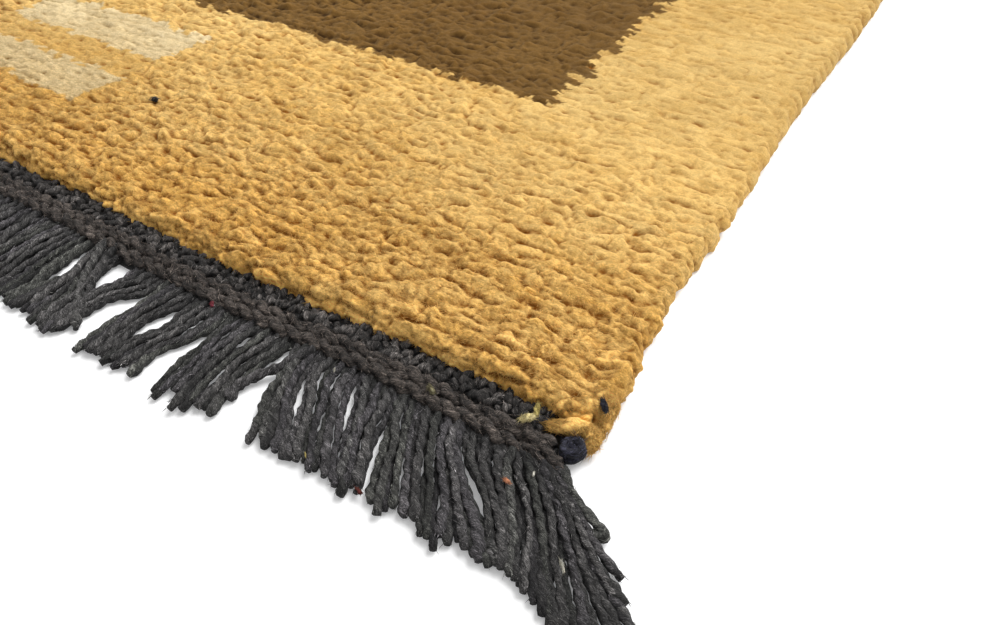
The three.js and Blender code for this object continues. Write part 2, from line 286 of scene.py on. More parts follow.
def add_hairs(shape, starts, ways, lengths, widths, tints, curls, segments):
    """Adds thin closed hairs that run from a three-sided foot to a point. curls says how far each one's end
    is carried sideways, as a share of its length."""
    count = len(starts)
    ways = unit(ways)
    sideways = unit(np.cross(ways, UP + NUDGE))
    above = np.cross(sideways, ways)
    share = np.arange(segments + 1)[None, :, None] / segments
    line = starts[:, None] + lengths[:, None, None] * (ways[:, None] * share + curls[:, None] * share ** 2)
    angle = TURN * np.arange(HAIR_SIDES) / HAIR_SIDES
    around = (
        np.cos(angle)[:, None] * sideways[:, None, None] + np.sin(angle)[:, None] * above[:, None, None]
    )
    radius = 0.5 * widths[:, None, None, None] * (1 - HAIR_TAPER * share[:, :-1, :, None])
    rings = line[:, :-1, None] + radius * around
    points = np.concatenate([rings.reshape(count, -1, 3), line[:, -1:]], axis=1)
    points[..., 2] = np.maximum(points[..., 2], HAIR_LOWEST)
    per_hair = points.shape[1]
    first = (np.arange(count) * per_hair)[:, None, None]
    corner = np.arange(HAIR_SIDES)
    following = np.roll(corner, -1)
    last_ring = (segments - 1) * HAIR_SIDES
    tip = np.full(HAIR_SIDES, per_hair - 1)
    cone = np.stack([last_ring + corner, last_ring + following, tip], axis=-1)
    faces = [(first + cone).reshape(-1, 3), (first + corner[::-1]).reshape(-1, 3)]
    if segments > 1:
        tube = quads_between(segments, HAIR_SIDES, closed=True)
        faces.append((first + tube).reshape(-1, 4))
    shape.add(points, faces, np.repeat(tints, per_hair, axis=0))


# Colours, as they are in even light; the *_IN_SHADE ones are the wool's colours in shade, for painted shade
GOLD_PALE = np.array([0.815, 0.56, 0.21])
GOLD_WARM = np.array([0.655, 0.392, 0.107])
GOLD_IN_SHADE = np.array([0.26, 0.094, 0.010])
BROWN_PALE = np.array([0.198, 0.107, 0.029])
BROWN_WARM = np.array([0.140, 0.071, 0.018])
BROWN_IN_SHADE = np.array([0.045, 0.020, 0.006])
CREAM_PALE = np.array([0.84, 0.69, 0.42])
CREAM_WARM = np.array([0.70, 0.54, 0.29])
CREAM_IN_SHADE = np.array([0.30, 0.19, 0.07])
CHARCOAL = np.array([0.039, 0.037, 0.036])
CHARCOAL_WARM = np.array([0.033, 0.027, 0.023])
CHARCOAL_COOL = np.array([0.041, 0.038, 0.040])
CHARCOAL_GREEN = np.array([0.037, 0.037, 0.033])
BLUE_BLACK = np.array([0.021, 0.021, 0.032])

# The wool lies in overlapping scales of three sizes: clumps in the rows, tufts and flakes. Each size is
# given along the rows and across them. A scale rises towards its free front edge and drops steeply there.
CLUMP = (8.6, ROW_PITCH / 2)
TUFT = (4.3, 2.7)
SMALL_TUFT = (2.7, 2.1)
FLAKE = (1.35, 1.15)
TUFT_RELIEF = 0.9
SMALL_TUFT_RELIEF = 0.7
FLAKE_RELIEF = 0.36
CLUMP_STRAY = (1.0, 0.6)
TUFT_STRAY = (0.9, 0.9)
# How dark the painted shade in the seams between the scales is, and how wide
SEAM_SHADE = 0.45
SMALL_SEAM_SHADE = 0.4
SEAM_WIDTH = 0.14
FLAKE_SEAM_SHADE = 0.2
FLAKE_SEAM_WIDTH = 0.16
# Where the tufts are small ones: the share, and the noise's amount and widths
FINER_SHARE = 0.5
FINER_WAVE = (1.4, 11, 8, 9)
# How the wool's places wander along the rows and across them, and how its height swells
WANDER_ALONG = ((2.6, 9, 9, 1), (0.8, 2.4, 2.4, 2))
WANDER_ACROSS = ((1.4, 12, 9, 3), (0.7, 2.2, 2.2, 4))
SWELL = (0.45, 60, 45, 12)
# Soft billows over the scales: each size's width along the rows and across them, and its height
BILLOWS = ((6.4, 4.4, 1.5), (3.3, 2.4, 0.95), (1.7, 1.3, 0.5))
BILLOW_CREASE = 0.004
BILLOW_MEAN = 0.8
BILLOWED_LEAST = 0.35
# How far the rug's ends reach in, and values away from the ends and at them
END_TUFTS_REACH = 75
END_TUFTS_FADE = 60
CLUMP_RELIEF = (0.85, 1.2)
# Painted shade in the seams between the clumps: how dark and how wide, away from the ends and at them
CLUMP_SEAM_SHADE = (0.3, 0.45)
CLUMP_SEAM_WIDTH = (0.1, 0.15)
TUFT_SHARE = (0.55, 1.0)
# Painted light on the humps that stand over the wool around them
HUMP_PAINTED_LIGHT = (0.12, 0.25)
# How light the wool is: at random by its clump, tuft and flake, and painted light at the end's right side,
# down the end's wall, and where the right side catches the light
CLUMP_SHADE_LEAST = 0.93
CLUMP_SHADE_SPREAD = 0.14
TUFT_SHADE_SPREAD = 0.2
FLAKE_SHADE_SPREAD = 0.3
END_PAINTED_LIGHT = 1.13
END_SHADE_FROM = 40
END_SHADE_OVER = 110
WALL_PAINTED_LIGHT = 1.6
WALL_SHADE_REACH = 2
WALL_SHADE_FADE = 7
RIGHT_SHADE = 1.1
SUNLIT_FROM = 210
SUNLIT_OVER = 60
SUNLIT_REACH = 170
SUNLIT_FADE = 70
SUNLIT_END_LOSS = 0.7
# How warm the wool's colour is; near the end it is warmer, and the paler wool beyond is painted sheen
CLUMP_WARMTH = 0.3
TUFT_WARMTH = 0.35
WARMTH_WAVE = (0.25, 45, 30, 15)
END_WARMTH = 0.5
END_WARMTH_REACH = 90
END_WARMTH_FADE = 85
SIDE_WARMTH = 0.1
# The scales' form, in sizes of their cells
SCALE_UNEVENNESS = 0.6
SCALE_TILT = 0.6
SCALE_LEAN = 0.7
SCALE_SIDE_FALL = 1.3
SCALE_BACK_FALL = 0.5
SCALE_FREE_EDGE = 0.28
SCALE_FRONT_FALL = 6
# The pits between the rows: the size of a pit's cell, its strays, and its sizes in that cell
PIT = (9.5, ROW_PITCH / 2)
PIT_WANDER_ALONG = (0.3, 21, 17, 6)
PIT_WANDER_ACROSS = (0.16, 8, 11, 7)
PIT_STRAY_ALONG = 0.8
PIT_STRAY_ACROSS = 0.5
PIT_LENGTH = (0.13, 0.34)
PIT_WIDTH = (0.10, 0.22)
PIT_NONE_BELOW = 0.35
PIT_FULL_OVER = 0.5
PIT_DEPTH = 0.9
PIT_CALM_SHARE = 0.65
PIT_WAVE = (0.25, 35, 28, 8)
# Hollows and pits are painted darker: painted shade
HOLLOW_LEAST = 0.06
HOLLOW_PAINTED_SHADE = 0.8
PIT_PAINTED_SHADE = 0.5
# How far from the ends the wool is tufted and lumpy, how much more of it is at the left, and how much it
# is at least
TUFTED_REACH = 115
TUFTED_MORE = 120
TUFTED_FADE = 90
TUFTED_LEAST = 0.35
LUMPY_REACH = 170
LUMPY_MORE = 200
LUMPY_FADE = 120
LUMPY_LEAST = 0.3
LUMPY_FIELD = 0.8
BAR_RELIEF = 0.5
MORE_FROM = 250
MORE_OVER = 170
# Painted shade: where the wool is calm and its relief low, it is painted darker
CALM_PAINTED_SHADE = 0.84
MEAN_DROP = 0.45


def scales(a, b, layer, stray_along, stray_across):
    """Scattered overlapping scales, one to a cell. At each place it gives the topmost scale's height, how
    far it stands over the next one, and its cell."""
    column_here = np.floor(a).astype(int)
    row_here = np.floor(b).astype(int)
    heights, columns, rows = [], [], []
    for row_step in (-1, 0, 1):
        for column_step in (-1, 0, 1):
            column = column_here + column_step
            row = row_here + row_step
            off_a = a - column - 0.5 - stray_along * (cell_random(column, row, layer) - 0.5)
            off_b = b - row - 0.5 - stray_across * (cell_random(column, row, layer + 1) - 0.5)
            height = SCALE_UNEVENNESS * cell_random(column, row, layer + 2)
            height = height + SCALE_TILT * (cell_random(column, row, layer + 3) - 0.5) * off_a
            height = height - SCALE_LEAN * off_b - SCALE_SIDE_FALL * off_a ** 2
            height = height - SCALE_BACK_FALL * np.maximum(off_b, 0) ** 2
            height = height - SCALE_FRONT_FALL * np.maximum(-off_b - SCALE_FREE_EDGE, 0) ** 2
            heights.append(height)
            columns.append(column)
            rows.append(row)
    heights = np.stack(heights)
    which = np.argmax(heights, axis=0)[None]
    ordered = np.sort(heights, axis=0)
    column = np.take_along_axis(np.stack(columns), which, 0)[0]
    row = np.take_along_axis(np.stack(rows), which, 0)[0]
    return ordered[-1], ordered[-1] - ordered[-2], column, row


def billows(a, b, fineness):
    """Soft round swellings with creases between them, from 0 up."""
    total = np.zeros(np.shape(a))
    for number, (width, depth, height) in enumerate(BILLOWS[:fineness + 1]):
        u, v = a / width, b / depth
        swell = noise(u, v, 91 + number) + 0.4 * noise(u + 0.7 * v, 1.3 * v - 0.4 * u, 94 + number)
        total = total + height * np.sqrt(swell ** 2 + BILLOW_CREASE)
    return total


def pits(p, q):
    """How deep the scattered hollows between the rows are, from 0 to 1."""
    a = wandered(p / PIT[0], p, q, [PIT_WANDER_ALONG])
    b = wandered(q / PIT[1], p, q, [PIT_WANDER_ACROSS])
    column_here = np.floor(a).astype(int)
    row_here = np.floor(b).astype(int)
    deepest = np.zeros(np.shape(p))
    for row_step in (0, 1):
        for column_step in (-1, 0, 1):
            column = column_here + column_step
            row = row_here + row_step
            off_a = a - column - 0.5 - PIT_STRAY_ALONG * (cell_random(column, row, 60) - 0.5)
            off_b = b - row - PIT_STRAY_ACROSS * (cell_random(column, row, 61) - 0.5)
            strength = ease((cell_random(column, row, 62) - PIT_NONE_BELOW) / PIT_FULL_OVER)
            length = mix(*PIT_LENGTH, cell_random(column, row, 63))
            width = mix(*PIT_WIDTH, cell_random(column, row, 64))
            hollow = strength * np.exp(-((off_a / length) ** 2) - (off_b / width) ** 2)
            deepest = np.maximum(deepest, hollow)
    return deepest


def averaged(net, steps, axis):
    """Each value of a net averaged with those up to some steps away along an axis."""
    net = np.moveaxis(net, axis, 0)
    padded = np.concatenate([np.repeat(net[:1], steps + 1, 0), net, np.repeat(net[-1:], steps, 0)])
    total = np.cumsum(padded, axis=0)
    span = 2 * steps + 1
    return np.moveaxis((total[span:] - total[:-span]) / span, 0, axis)


HOLLOW_REACH = 2.0
HOLLOW_SCALE = 0.75


def hollows(stand, step_across, step_along):
    """How deep each place of a net lies under the places around it, from -1 to 1."""
    level = stand
    for axis, step in ((1, step_across), (0, step_along)):
        level = averaged(level, max(1, round(HOLLOW_REACH / step)), axis)
    return np.clip((level - stand) / HOLLOW_SCALE, -1, 1)


# The design, by distance from the side edges and from the pile's ends
FIELD_FROM_SIDE = 87
FIELD_FROM_END = 132
BARS_HALF_LENGTH = 52
BARS_FROM_END = ((37, 59), (78, 105))
ROW_STEP = 1.0
KNOT_STEP = 0.9


def design(p, q, column, row):
    """The share of brown and of cream at a tuft, whose edge steps from tuft to tuft."""
    across = np.abs(p) + ROW_STEP * stray(row, row, 9)
    across = across + KNOT_STEP * stray(column, row, 10)
    from_end = -PILE_END_Y - np.abs(q) + KNOT_STEP * stray(column, row, 11)
    field = (across < HALF_WIDTH - FIELD_FROM_SIDE) & (from_end > FIELD_FROM_END)
    bars = np.zeros(np.shape(p), bool)
    for low, high in BARS_FROM_END:
        bars |= (across < BARS_HALF_LENGTH) & (from_end > low) & (from_end < high)
    return field.astype(float), bars.astype(float)


def wool(p, q, fineness, side=0.0, steps=None):
    """How far the wool stands out at a place of the unrolled surface, and its tint. fineness is 2 with the
    flakes, 1 with the tufts and 0 with the clumps alone. side is 1 on the outside of the rug's edge, and
    steps are the sizes of a net's steps."""
    from_end = -PILE_END_Y - np.abs(q)
    more = ease((MORE_FROM - p) / MORE_OVER)
    tufted = mix(TUFTED_LEAST, 1.0, ease((TUFTED_REACH + TUFTED_MORE * more - from_end) / TUFTED_FADE))
    lumpy = mix(LUMPY_LEAST, 1.0, ease((LUMPY_REACH + LUMPY_MORE * more - from_end) / LUMPY_FADE))
    in_field = (from_end > FIELD_FROM_END) & (np.abs(p) < HALF_WIDTH - FIELD_FROM_SIDE)
    in_bars = (from_end > BARS_FROM_END[0][0]) & (from_end < BARS_FROM_END[1][1])
    in_bars = in_bars & (np.abs(p) < BARS_HALF_LENGTH)
    lumpy = np.where(in_field, np.maximum(lumpy, LUMPY_FIELD), lumpy)
    tufted = np.where(in_bars, BAR_RELIEF * tufted, tufted)
    lumpy = np.where(in_bars, BAR_RELIEF * lumpy, lumpy)
    a = wandered(p, p, q, WANDER_ALONG)
    b = wandered(q, p, q, WANDER_ACROSS)
    height, over, clump_column, clump_row = scales(a / CLUMP[0], b / CLUMP[1], 12, *CLUMP_STRAY)
    billow = billows(a, b, fineness)
    billowed = mix(BILLOWED_LEAST, 1.0, np.maximum(lumpy, tufted))
    at_end = ease((END_TUFTS_REACH - from_end) / END_TUFTS_FADE)
    stand = lumpy * mix(*CLUMP_RELIEF, at_end) * height + billowed * (billow - BILLOW_MEAN)
    # depth is how far the tint goes to the colour in shade: painted shade, here in the seams between the
    # clumps
    depth = mix(*CLUMP_SEAM_SHADE, at_end) * lumpy * np.exp(-over / mix(*CLUMP_SEAM_WIDTH, at_end))
    warmth = CLUMP_WARMTH * cell_random(clump_column, clump_row, 30)
    column = np.floor(a / TUFT[0]).astype(int)
    row = np.floor(b / TUFT[1]).astype(int)
    shade = CLUMP_SHADE_LEAST + CLUMP_SHADE_SPREAD * cell_random(clump_column, clump_row, 35)
    # Painted shade where the wool is calm
    shade = shade * mix(CALM_PAINTED_SHADE, 1.0, lumpy)
    # Painted light near the end's right side and down the end's wall, and where the right side catches the
    # light
    shade = shade * mix(1.0, END_PAINTED_LIGHT, at_end * ease((p - END_SHADE_FROM) / END_SHADE_OVER))
    shade = shade * mix(1.0, WALL_PAINTED_LIGHT, ease((WALL_SHADE_REACH - from_end) / WALL_SHADE_FADE))
    sunlit = ease((p - SUNLIT_FROM) / SUNLIT_OVER) * ease((SUNLIT_REACH - from_end) / SUNLIT_FADE)
    shade = shade * mix(1.0, RIGHT_SHADE, sunlit * (1 - SUNLIT_END_LOSS * at_end))
    if fineness > 0:
        height, over, column, row = scales(a / TUFT[0], b / TUFT[1], 18, *TUFT_STRAY)
        # Painted shade in the seams under the tufts' and flakes' free edges
        seam = SEAM_SHADE * cell_random(column, row, 31) ** 2 * np.exp(-over / SEAM_WIDTH)
        small, small_over, small_column, small_row = scales(
            a / SMALL_TUFT[0], b / SMALL_TUFT[1], 36, *TUFT_STRAY
        )
        finer = ease(wandered(FINER_SHARE, p, q, [FINER_WAVE]))
        small_seam = SMALL_SEAM_SHADE * cell_random(small_column, small_row, 37) ** 2
        small_seam = small_seam * np.exp(-small_over / SEAM_WIDTH)
        near_tufts = tufted * mix(*TUFT_SHARE, at_end)
        stand = stand + near_tufts * mix(TUFT_RELIEF * height, SMALL_TUFT_RELIEF * small, finer)
        depth = depth + near_tufts * mix(seam, small_seam, finer)
        shade = shade * (1 + tufted * TUFT_SHADE_SPREAD * (cell_random(column, row, 32) - 0.5))
    if fineness > 1:
        height, over, flake_column, flake_row = scales(a / FLAKE[0], b / FLAKE[1], 24, *TUFT_STRAY)
        stand = stand + near_tufts * FLAKE_RELIEF * height
        depth = depth + near_tufts * FLAKE_SEAM_SHADE * np.exp(-over / FLAKE_SEAM_WIDTH)
        flake_shade = cell_random(flake_column, flake_row, 33) - 0.5
        shade = shade * (1 + tufted * FLAKE_SHADE_SPREAD * flake_shade)
    deepest = pits(p, q) * mix(PIT_CALM_SHARE, 1.0, lumpy) * wandered(1 - PIT_WAVE[0], p, q, [PIT_WAVE])
    deepest = deepest * (1 - side)
    stand = stand - PIT_DEPTH * deepest
    # Painted shade in the hollows and painted light on the humps
    if steps is not None:
        hollow = hollows(stand, *steps)
        depth = depth + HOLLOW_PAINTED_SHADE * np.maximum(hollow - HOLLOW_LEAST, 0)
        shade = shade * (1 + mix(*HUMP_PAINTED_LIGHT, at_end) * np.maximum(-hollow, 0))
    # Painted shade in the pits
    depth = depth + PIT_PAINTED_SHADE * deepest
    stand = wandered(stand, p, q, [SWELL]) - MEAN_DROP
    warmth = wandered(warmth + TUFT_WARMTH * cell_random(column, row, 34), p, q, [WARMTH_WAVE])
    # Painted sheen: the wool near the end is warmer, so that the wool further away is paler
    warmth = warmth + END_WARMTH * ease((END_WARMTH_REACH - from_end) / END_WARMTH_FADE) + SIDE_WARMTH * side
    warmth = np.clip(warmth, 0, 1)[..., None]
    depth = np.clip(depth, 0, 1)[..., None]
    field, bars = design((column + 0.5) * TUFT[0], (row + 0.5) * TUFT[1], column, row)
    field, bars = field[..., None], bars[..., None]
    pale = mix(mix(GOLD_PALE, BROWN_PALE, field), CREAM_PALE, bars)
    warm = mix(mix(GOLD_WARM, BROWN_WARM, field), CREAM_WARM, bars)
    # deep is the colour in shade that depth's painted shade goes towards
    deep = mix(mix(GOLD_IN_SHADE, BROWN_IN_SHADE, field), CREAM_IN_SHADE, bars)
    tint = mix(mix(pale, warm, warmth) * shade[..., None], deep, depth)
    return stand, tint


# The smooth surface under the tufts
SHOULDER = 4.5
SIDE_DROP = 0.8
SIDE_DROP_REACH = 25
PILE_FOOT = 1.2
PILE_BOTTOM = 1.0
END_OVERHANG = 0.4
END_WALL = SHOULDER * TURN / 4 + 3
FLAT_START = PILE_END_Y + SHOULDER
EDGE_SHIFT_REACH = 120
END_SHIFT_REACH = 90
NORMAL_STEP = 0.4


def round_over(beyond, radius):
    """How far out and down a surface goes that turns down over a rounded edge, by its length past the
    start of the rounding."""
    angle = np.clip(beyond / radius, 0, TURN / 4)
    straight = np.maximum(beyond - radius * TURN / 4, 0)
    return radius * np.sin(angle), radius * (1 - np.cos(angle)) + straight


def edge_shift(p, y):
    """How far the cloth's lines follow the waves of the side edges."""
    right = ease((p - CLOTH_EDGE + EDGE_SHIFT_REACH) / EDGE_SHIFT_REACH)
    left = ease((-p - CLOTH_EDGE + EDGE_SHIFT_REACH) / EDGE_SHIFT_REACH)
    return right * (right_edge(y) - HALF_WIDTH) - left * (right_edge(-y) - HALF_WIDTH)


def pile_base(p, q):
    """The smooth pile surface without its tufts. Its front and back stand out a little over the bands."""
    out, down = round_over(FLAT_START - q, SHOULDER)
    back_out, back_down = round_over(FLAT_START + q, SHOULDER)
    overhang = END_OVERHANG * np.sin(np.clip((down + back_down) / SHOULDER, 0, 2) * TURN / 4)
    y = np.clip(q, FLAT_START, -FLAT_START) - out + back_out
    y = y - np.where(q < 0, overhang, -overhang)
    y = y + front_wave(p) * ease(1 - (y - PILE_END_Y) / END_SHIFT_REACH)
    y = y - front_wave(-p) * ease(1 - (-PILE_END_Y - y) / END_SHIFT_REACH)
    x = p + edge_shift(p, y)
    side = ease((np.abs(p) - CLOTH_EDGE + SIDE_DROP_REACH) / SIDE_DROP_REACH)
    z = PILE_HEIGHT - down - back_down - SIDE_DROP * side
    return np.stack([x, y, z], axis=-1)


def pile_surface(p, q, fineness, steps=None):
    """The wool's points, its outward and forward directions and its tints."""
    base = pile_base(p, q)
    across = pile_base(p + NORMAL_STEP, q) - base
    along = pile_base(p, q + NORMAL_STEP) - base
    outward = unit(np.cross(across, along))
    stand, tint = wool(p, q, fineness, steps=steps)
    return base + outward * stand[..., None], outward, -unit(along), tint


def add_pile(shape, p_lines, q_lines, fineness, sunk, coarse=0.0):
    """Adds a patch of pile, which lies a little deeper where it is sunk under its finer neighbour."""
    p, q = np.meshgrid(p_lines, q_lines)
    steps = (p_lines[1] - p_lines[0], q_lines[1] - q_lines[0])
    top, outward, _, tint = pile_surface(p, q, fineness, steps)
    top = top - outward * sunk
    top[..., 2] = np.maximum(top[..., 2], PILE_FOOT)
    points, faces = slab(top, PILE_BOTTOM)
    # The slab's walls and foot take the gold in shade: painted shade
    tints = np.concatenate([tint.reshape(-1, 3), np.broadcast_to(GOLD_IN_SHADE, (len(points) - p.size, 3))])
    shape.add(points, faces, tints, coarse=coarse)


SEAM = 1.0
PILE_RIGHT = CLOTH_EDGE + SEAM
PILE_FRONT = FLAT_START - END_WALL
NEAR_LEFT, NEAR_BACK = 52, -354
SIDE_LEFT, SIDE_BACK = -76, -298
INNER_LEFT, INNER_BACK = 16, -245
MIDDLE_LEFT, MIDDLE_BACK = 92, -118
# The pile's patches, finest at the near corner. Each has its piece, its left and right, its first and last
# step across, its front and back, its first and last step along, its fineness, how deep it is sunk and how
# coarse its mesh is.
PILE_PATCHES = (
    ("near_corner", NEAR_LEFT, PILE_RIGHT, 0.6, 0.44, PILE_FRONT, NEAR_BACK, 0.42, 0.56, 2, 0, 0.0),
    ("near_side", SIDE_LEFT, NEAR_LEFT + SEAM, 1.0, 0.8, PILE_FRONT, NEAR_BACK + SEAM, 0.6, 0.7,
     2, 0.05, 0.0),
    ("near_side", SIDE_LEFT, PILE_RIGHT, 0.95, 0.62, NEAR_BACK - SEAM, SIDE_BACK, 0.58, 0.72, 2, 0.05, 0.0),
    ("near_side", INNER_LEFT, PILE_RIGHT, 0.9, 0.65, SIDE_BACK - SEAM, INNER_BACK, 0.72, 0.9, 2, 0.05, 0.0),
    ("middle", MIDDLE_LEFT, PILE_RIGHT, 1.0, 0.8, INNER_BACK - SEAM, MIDDLE_BACK, 0.9, 1.5, 1, 0.05, 0.0),
    ("far", -PILE_RIGHT, SIDE_LEFT + SEAM, 3, 3, PILE_FRONT, MIDDLE_BACK + SEAM, 3, 3, 0, 0.1, 1.0),
    ("far", SIDE_LEFT, INNER_LEFT + SEAM, 2.4, 2.4, SIDE_BACK - SEAM, MIDDLE_BACK + SEAM, 2.4, 2.4,
     0, 0.1, 1.0),
    ("far", INNER_LEFT, MIDDLE_LEFT + SEAM, 2.4, 2.4, INNER_BACK - SEAM, MIDDLE_BACK + SEAM, 2.4, 2.4,
     0, 0.1, 1.0),
    ("far", -PILE_RIGHT, PILE_RIGHT, 4.1, 4.1, MIDDLE_BACK - SEAM, -PILE_FRONT, 4.1, 4.1, 0, 0.1, 1.0),
)


def make_pile(material):
    """The pile in four pieces, each with its patches."""
    shapes = {}
    for name, *sizes in PILE_PATCHES:
        shape = shapes.setdefault("pile_" + name, Shape())
        add_pile(shape, graded(*sizes[:4]), graded(*sizes[4:8]), *sizes[8:])
    return [shape.build(name, material, "gold_wool", ["pile_body"]) for name, shape in shapes.items()]


# Loose ends of wool: each area's piece and number of them, its left, right, front and back, and their width
WISPS = (
    ("pile_wisps_corner", 15000, 150, PILE_RIGHT, PILE_FRONT, -388, 0.22),
    ("pile_wisps_side", 5000, SIDE_LEFT, 150, PILE_FRONT, -408, 0.28),
)
WISPS_AT_END = 1.7
WISP_LENGTH = 2.6
WISP_CURL = 0.25
WISP_ROOT = 0.1
WISP_PALENESS = 0.45


def make_wisps(material):
    """Loose ends of wool that lie over the near pile."""
    draw = np.random.default_rng(11)
    pieces = []
    for name, count, left, right, front, back, width in WISPS:
        p = draw.uniform(left, right, count)
        q = mix(front, back, draw.uniform(0, 1, count) ** WISPS_AT_END)
        points, outward, forward, tint = pile_surface(p, q, 1)
        across = np.cross(forward, outward)
        ways = forward * draw.uniform(-0.2, 1.0, (count, 1)) + across * draw.uniform(-1, 1, (count, 1))
        ways = ways + outward * draw.uniform(0.12, 0.6, (count, 1))
        lengths = WISP_LENGTH * draw.uniform(0.6, 1.3, count)
        widths = width * draw.uniform(0.6, 1.2, count)
        # Partly painted light: the wisps are paler than the wool under them, and painted up to 1.6 times
        # lighter to make up for the shade on their thin sides
        tints = mix(tint, GOLD_PALE, WISP_PALENESS) * draw.uniform(1.05, 1.6, (count, 1))
        shape = Shape()
        roots = points - WISP_ROOT * outward
        add_hairs(shape, roots, ways, lengths, widths, tints, -WISP_CURL * outward, 1)
        pieces.append(shape.build(name, material, "gold_wool"))
    return pieces


# The overcast side edge
EDGE_RADIUS = 4.4
EDGE_TOP_LAP = 3.0
EDGE_UNDERCUT = 1.2
EDGE_INSET = 1.3
EDGE_END_INSET = 2.6
EDGE_END_REACH = 14
EDGE_LUMP = 0.6
EDGE_CRACK = 0.7
# Painted shade: the edge's outer bank is painted darker than its top
EDGE_BANK_PAINTED_SHADE = 0.9
EDGE_FOOT = 0.15
EDGE_LAP_SINK = 0.7
EDGE_SIDE_FROM = 0.5
EDGE_SIDE_RELIEF = 0.75
# The turns' lumps: how unevenly they follow each other, how they slant, and the cracks between them
EDGE_TURN_WAVE = 0.5
EDGE_TURN_WAVE_WIDTH = 17
EDGE_TURN_SLANT = 0.4
EDGE_LUMP_WIDTH = 0.8
EDGE_LUMP_MEAN = 0.6
EDGE_LUMP_SPREAD = 0.5
EDGE_CRACK_WIDTH = 0.2
# The cracks between the turns are painted darker: painted shade
EDGE_CRACK_SHADE = 0.8
# The edge is painted darker towards the floor: painted shade
EDGE_LOW = 4.5
EDGE_LOW_SHADE = 0.8
# The near selvedge's stretches: where each starts and ends, its first and last step along, its step across,
# its fineness and how coarse its mesh is
EDGE_END = PILE_END_Y + 4
EDGE_STRETCHES = (
    (EDGE_END, -330, 0.5, 0.6, 0.5, 2, 0.0),
    (-330, -110, 0.65, 1.2, 0.7, 2, 0.0),
    (-110, -EDGE_END, 2.4, 2.4, 1.5, 0, 1.0),
)
FAR_EDGE_STRETCH = (EDGE_END, -EDGE_END, 2.4, 2.4, 1.5, 0, 1.0)


def edge_section(step):
    """Half of a closed section, from the inner foot over the top and down the outside: each point's
    distance in from the edge, its height, its place along the section and how far it is on the side."""
    top = PILE_HEIGHT - SIDE_DROP
    flat = SELVEDGE_WIDTH + EDGE_TOP_LAP - EDGE_RADIUS
    wall = top - EDGE_RADIUS - EDGE_FOOT
    length = flat + EDGE_RADIUS * TURN / 4 + wall
    a = np.linspace(0, length, round(length / step) + 1)
    out, down = round_over(a - flat, EDGE_RADIUS)
    inwards = SELVEDGE_WIDTH + EDGE_TOP_LAP - np.minimum(a, flat) - out
    low = np.clip(1 - (top - down) / (top - EDGE_RADIUS), 0, 1)
    inwards = inwards + EDGE_UNDERCUT * low ** 2
    lap = ease(1 - a / EDGE_TOP_LAP)
    side = ease((a - flat * EDGE_SIDE_FROM) / (flat * EDGE_SIDE_FROM + EDGE_RADIUS))
    return inwards, top - down - EDGE_LAP_SINK * lap, a, side


def net_normals(net):
    """The outward direction at each point of a net."""
    return unit(np.cross(np.gradient(net, axis=1), np.gradient(net, axis=0)))


def add_selvedge(shape, start, end, first_step, last_step, step, fineness, coarse):
    """Adds a stretch of the right selvedge, with a lump for each turn of its yarn."""
    y_lines = graded(start, end, first_step, last_step)
    inwards, height, a, side = edge_section(step)
    y, inwards = np.meshgrid(y_lines, inwards, indexing="ij")
    height = np.broadcast_to(height, y.shape)
    side = np.broadcast_to(side, y.shape)
    drawn_in = EDGE_END_INSET * ease(1 - (y - PILE_END_Y) / EDGE_END_REACH) * side
    base = np.stack([right_edge(y) - EDGE_INSET * side - inwards - drawn_in, y, height], axis=-1)
    p = CLOTH_EDGE - EDGE_TOP_LAP + np.broadcast_to(a, y.shape)
    stand, tint = wool(p, y, fineness, side, (step, y_lines[1] - y_lines[0]))
    stand = stand * mix(1.0, EDGE_SIDE_RELIEF, side)
    place = (y - PILE_END_Y) / ROW_PITCH + EDGE_TURN_WAVE * noise(y / EDGE_TURN_WAVE_WIDTH, 0 * y, 40)
    place = place + EDGE_TURN_SLANT * side
    lump = np.round(place).astype(int)
    from_crack = 1 - 2 * np.abs(place - lump)
    crack = side * np.exp(-from_crack / EDGE_CRACK_WIDTH) * cell_random(lump, lump, 41)
    uneven = EDGE_LUMP_SPREAD * (cell_random(lump, lump, 42) - 0.5)
    bulge = EDGE_LUMP * side * (ease(from_crack / EDGE_LUMP_WIDTH) - EDGE_LUMP_MEAN + uneven)
    outer = base + net_normals(base) * (stand + bulge - EDGE_CRACK * crack)[..., None]
    outer[..., 2] = np.maximum(outer[..., 2], EDGE_FOOT)
    # Painted shade in the cracks
    tint = mix(tint, GOLD_IN_SHADE, np.clip(EDGE_CRACK_SHADE * crack, 0, 1)[..., None])
    inner = base[:, :1].copy()
    inner[..., 2] = EDGE_FOOT
    rings = np.concatenate([inner, outer], axis=1)
    tints = np.concatenate([tint[:, :1], tint], axis=1)
    bank = np.concatenate([side[:, :1], side], axis=1)
    # Painted shade towards the floor and on the outer bank
    low = ease((EDGE_LOW - rings[..., 2]) / EDGE_LOW)
    shade = (mix(1.0, EDGE_LOW_SHADE, low) * mix(1.0, EDGE_BANK_PAINTED_SHADE, bank))[..., None]
    shape.add(rings, ring_faces(*rings.shape[:2]), (tints * shade).reshape(-1, 3), coarse=coarse)


def make_selvedges(material):
    near = Shape()
    for stretch in EDGE_STRETCHES:
        add_selvedge(near, *stretch)
    far = Shape()
    add_selvedge(far, *FAR_EDGE_STRETCH)
    return [
        near.build("selvedge_right_wool", material, "gold_wool", ["selvedge_right"]),
        far.build("selvedge_left_wool", material, "gold_wool", ["selvedge_left"], turned=True),
    ]


# Yarn: two plies that turn about each other, matted together
PLY_OFFSET = 0.30
PLY_RADIUS = 0.70
YARN_TURN = 7.5
